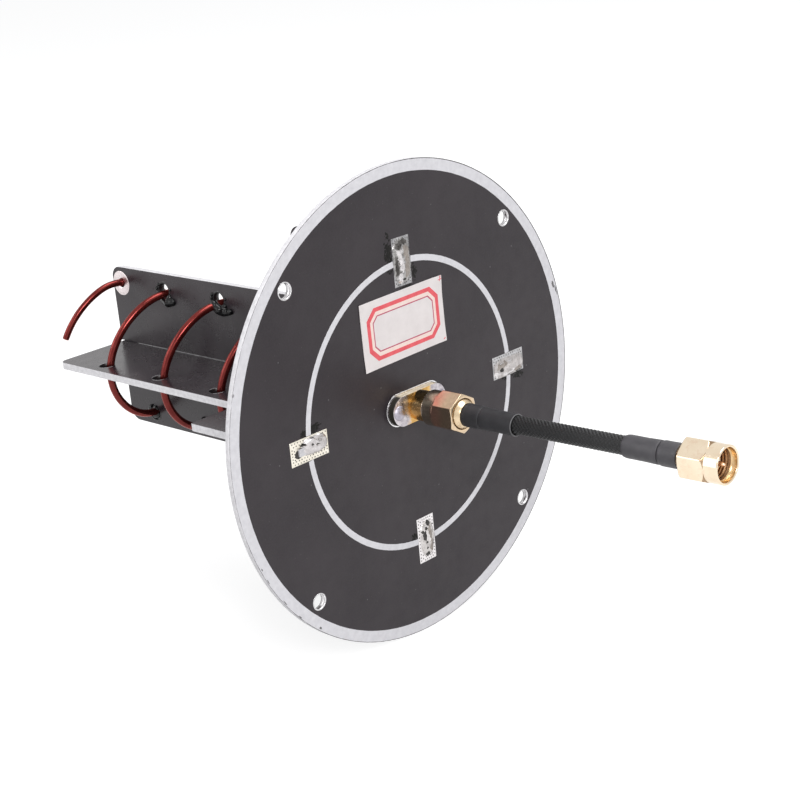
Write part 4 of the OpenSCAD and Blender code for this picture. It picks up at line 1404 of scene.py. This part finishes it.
# Eased edges on the machined and cut nodes
EASED = {
    "reflector_board": 0.08, "level_support_board": 0.08, "upright_support_board": 0.08,
    "flange_rivets": 0.1, "near_body": 0.04, "far_body": 0.04, "far_pin": 0.05,
}
for node_name, width in EASED.items():
    weld = nodes[node_name].modifiers.new("weld", "WELD")
    weld.merge_threshold = 0.002 * MM
    bevel = nodes[node_name].modifiers.new("eased_edges", "BEVEL")
    bevel.width = width * MM
    bevel.segments = 2
    bevel.limit_method = "ANGLE"
    bevel.angle_limit = math.radians(28)
    bevel.harden_normals = True


# Floor, world and lamps: a white sweep and soft light

FLOOR_Z, FLOOR_HALF = -50.2 * MM, 6.0
# The floor's own glow, as light on the object and as seen
FLOOR_BOUNCE, FLOOR_SEEN = 0.22, 0.76
# Lamps: place and aim in metres, size, watts
LAMPS = {
    "top_softbox": ((0.15, -0.12, 0.85), (0, 0.0, 0), (0.6, 0.5), 4.4),
    "left_softbox": ((-0.8, 0.46, 0.28), (0, -0.05, 0), (0.45, 0.7), 1.4),
    "left_strip": ((-0.56, 0.76, 0.52), (0, 0.06, 0), (0.14, 0.6), 1.9),
    "front_softbox": ((-0.55, -0.75, 0.55), (0, 0, 0), (0.32, 0.32), 5.4),
}


def lit_view(tree_nodes):
    """1 for rays from the camera, in reflections and through glass, where the background shows."""
    path = tree_nodes.add("ShaderNodeLightPath")
    seen = tree_nodes.work("MAXIMUM", path.outputs["Is Camera Ray"], path.outputs["Is Glossy Ray"])
    return tree_nodes.work("MAXIMUM", seen, path.outputs["Is Transmission Ray"])


def make_floor():
    mesh = bpy.data.meshes.new("floor")
    corners = [(x * FLOOR_HALF, y * FLOOR_HALF, FLOOR_Z) for x, y in ((-1, -1), (1, -1), (1, 1), (-1, 1))]
    mesh.from_pydata(corners, [], [(0, 1, 2, 3)])
    floor = bpy.data.objects.new("floor", mesh)
    scene.collection.objects.link(floor)
    look = Look("white_floor")
    look.surface(
        Base_Color=(0.4, 0.4, 0.4, 1),
        Roughness=0.9,
        Specular_IOR_Level=0.0,
        Emission_Color=(1, 1, 1, 1),
        Emission_Strength=look.span(lit_view(look), 0.0, 1.0, FLOOR_BOUNCE, FLOOR_SEEN),
    )
    mesh.materials.append(looks["white_floor"])


def make_world():
    world = bpy.data.worlds.new("white_room")
    world.use_nodes = True
    world.node_tree.nodes.clear()
    sky = Nodes(world.node_tree)
    light = sky.add("ShaderNodeBackground", Color=(0.97, 0.98, 1.0, 1), Strength=0.5)
    shown = sky.add("ShaderNodeBackground", Color=(1, 1, 1, 1), Strength=1.0)
    both = sky.add("ShaderNodeMixShader")
    for socket, value in zip(both.inputs, (lit_view(sky), light.outputs[0], shown.outputs[0])):
        sky.plug(socket, value)
    sky.add("ShaderNodeOutputWorld", Surface=both.outputs[0])
    scene.world = world


def make_lamp(name, place, aim, size, watts):
    data = bpy.data.lights.new(name, "AREA")
    data.shape = "RECTANGLE"
    data.size, data.size_y = size
    data.energy = watts
    lamp = bpy.data.objects.new(name, data)
    scene.collection.objects.link(lamp)
    lamp.location = place
    lamp.rotation_euler = (Vector(aim) - Vector(place)).to_track_quat("-Z", "Y").to_euler()


make_floor()
make_world()
for lamp_name, lamp_values in LAMPS.items():
    make_lamp(lamp_name, *lamp_values)
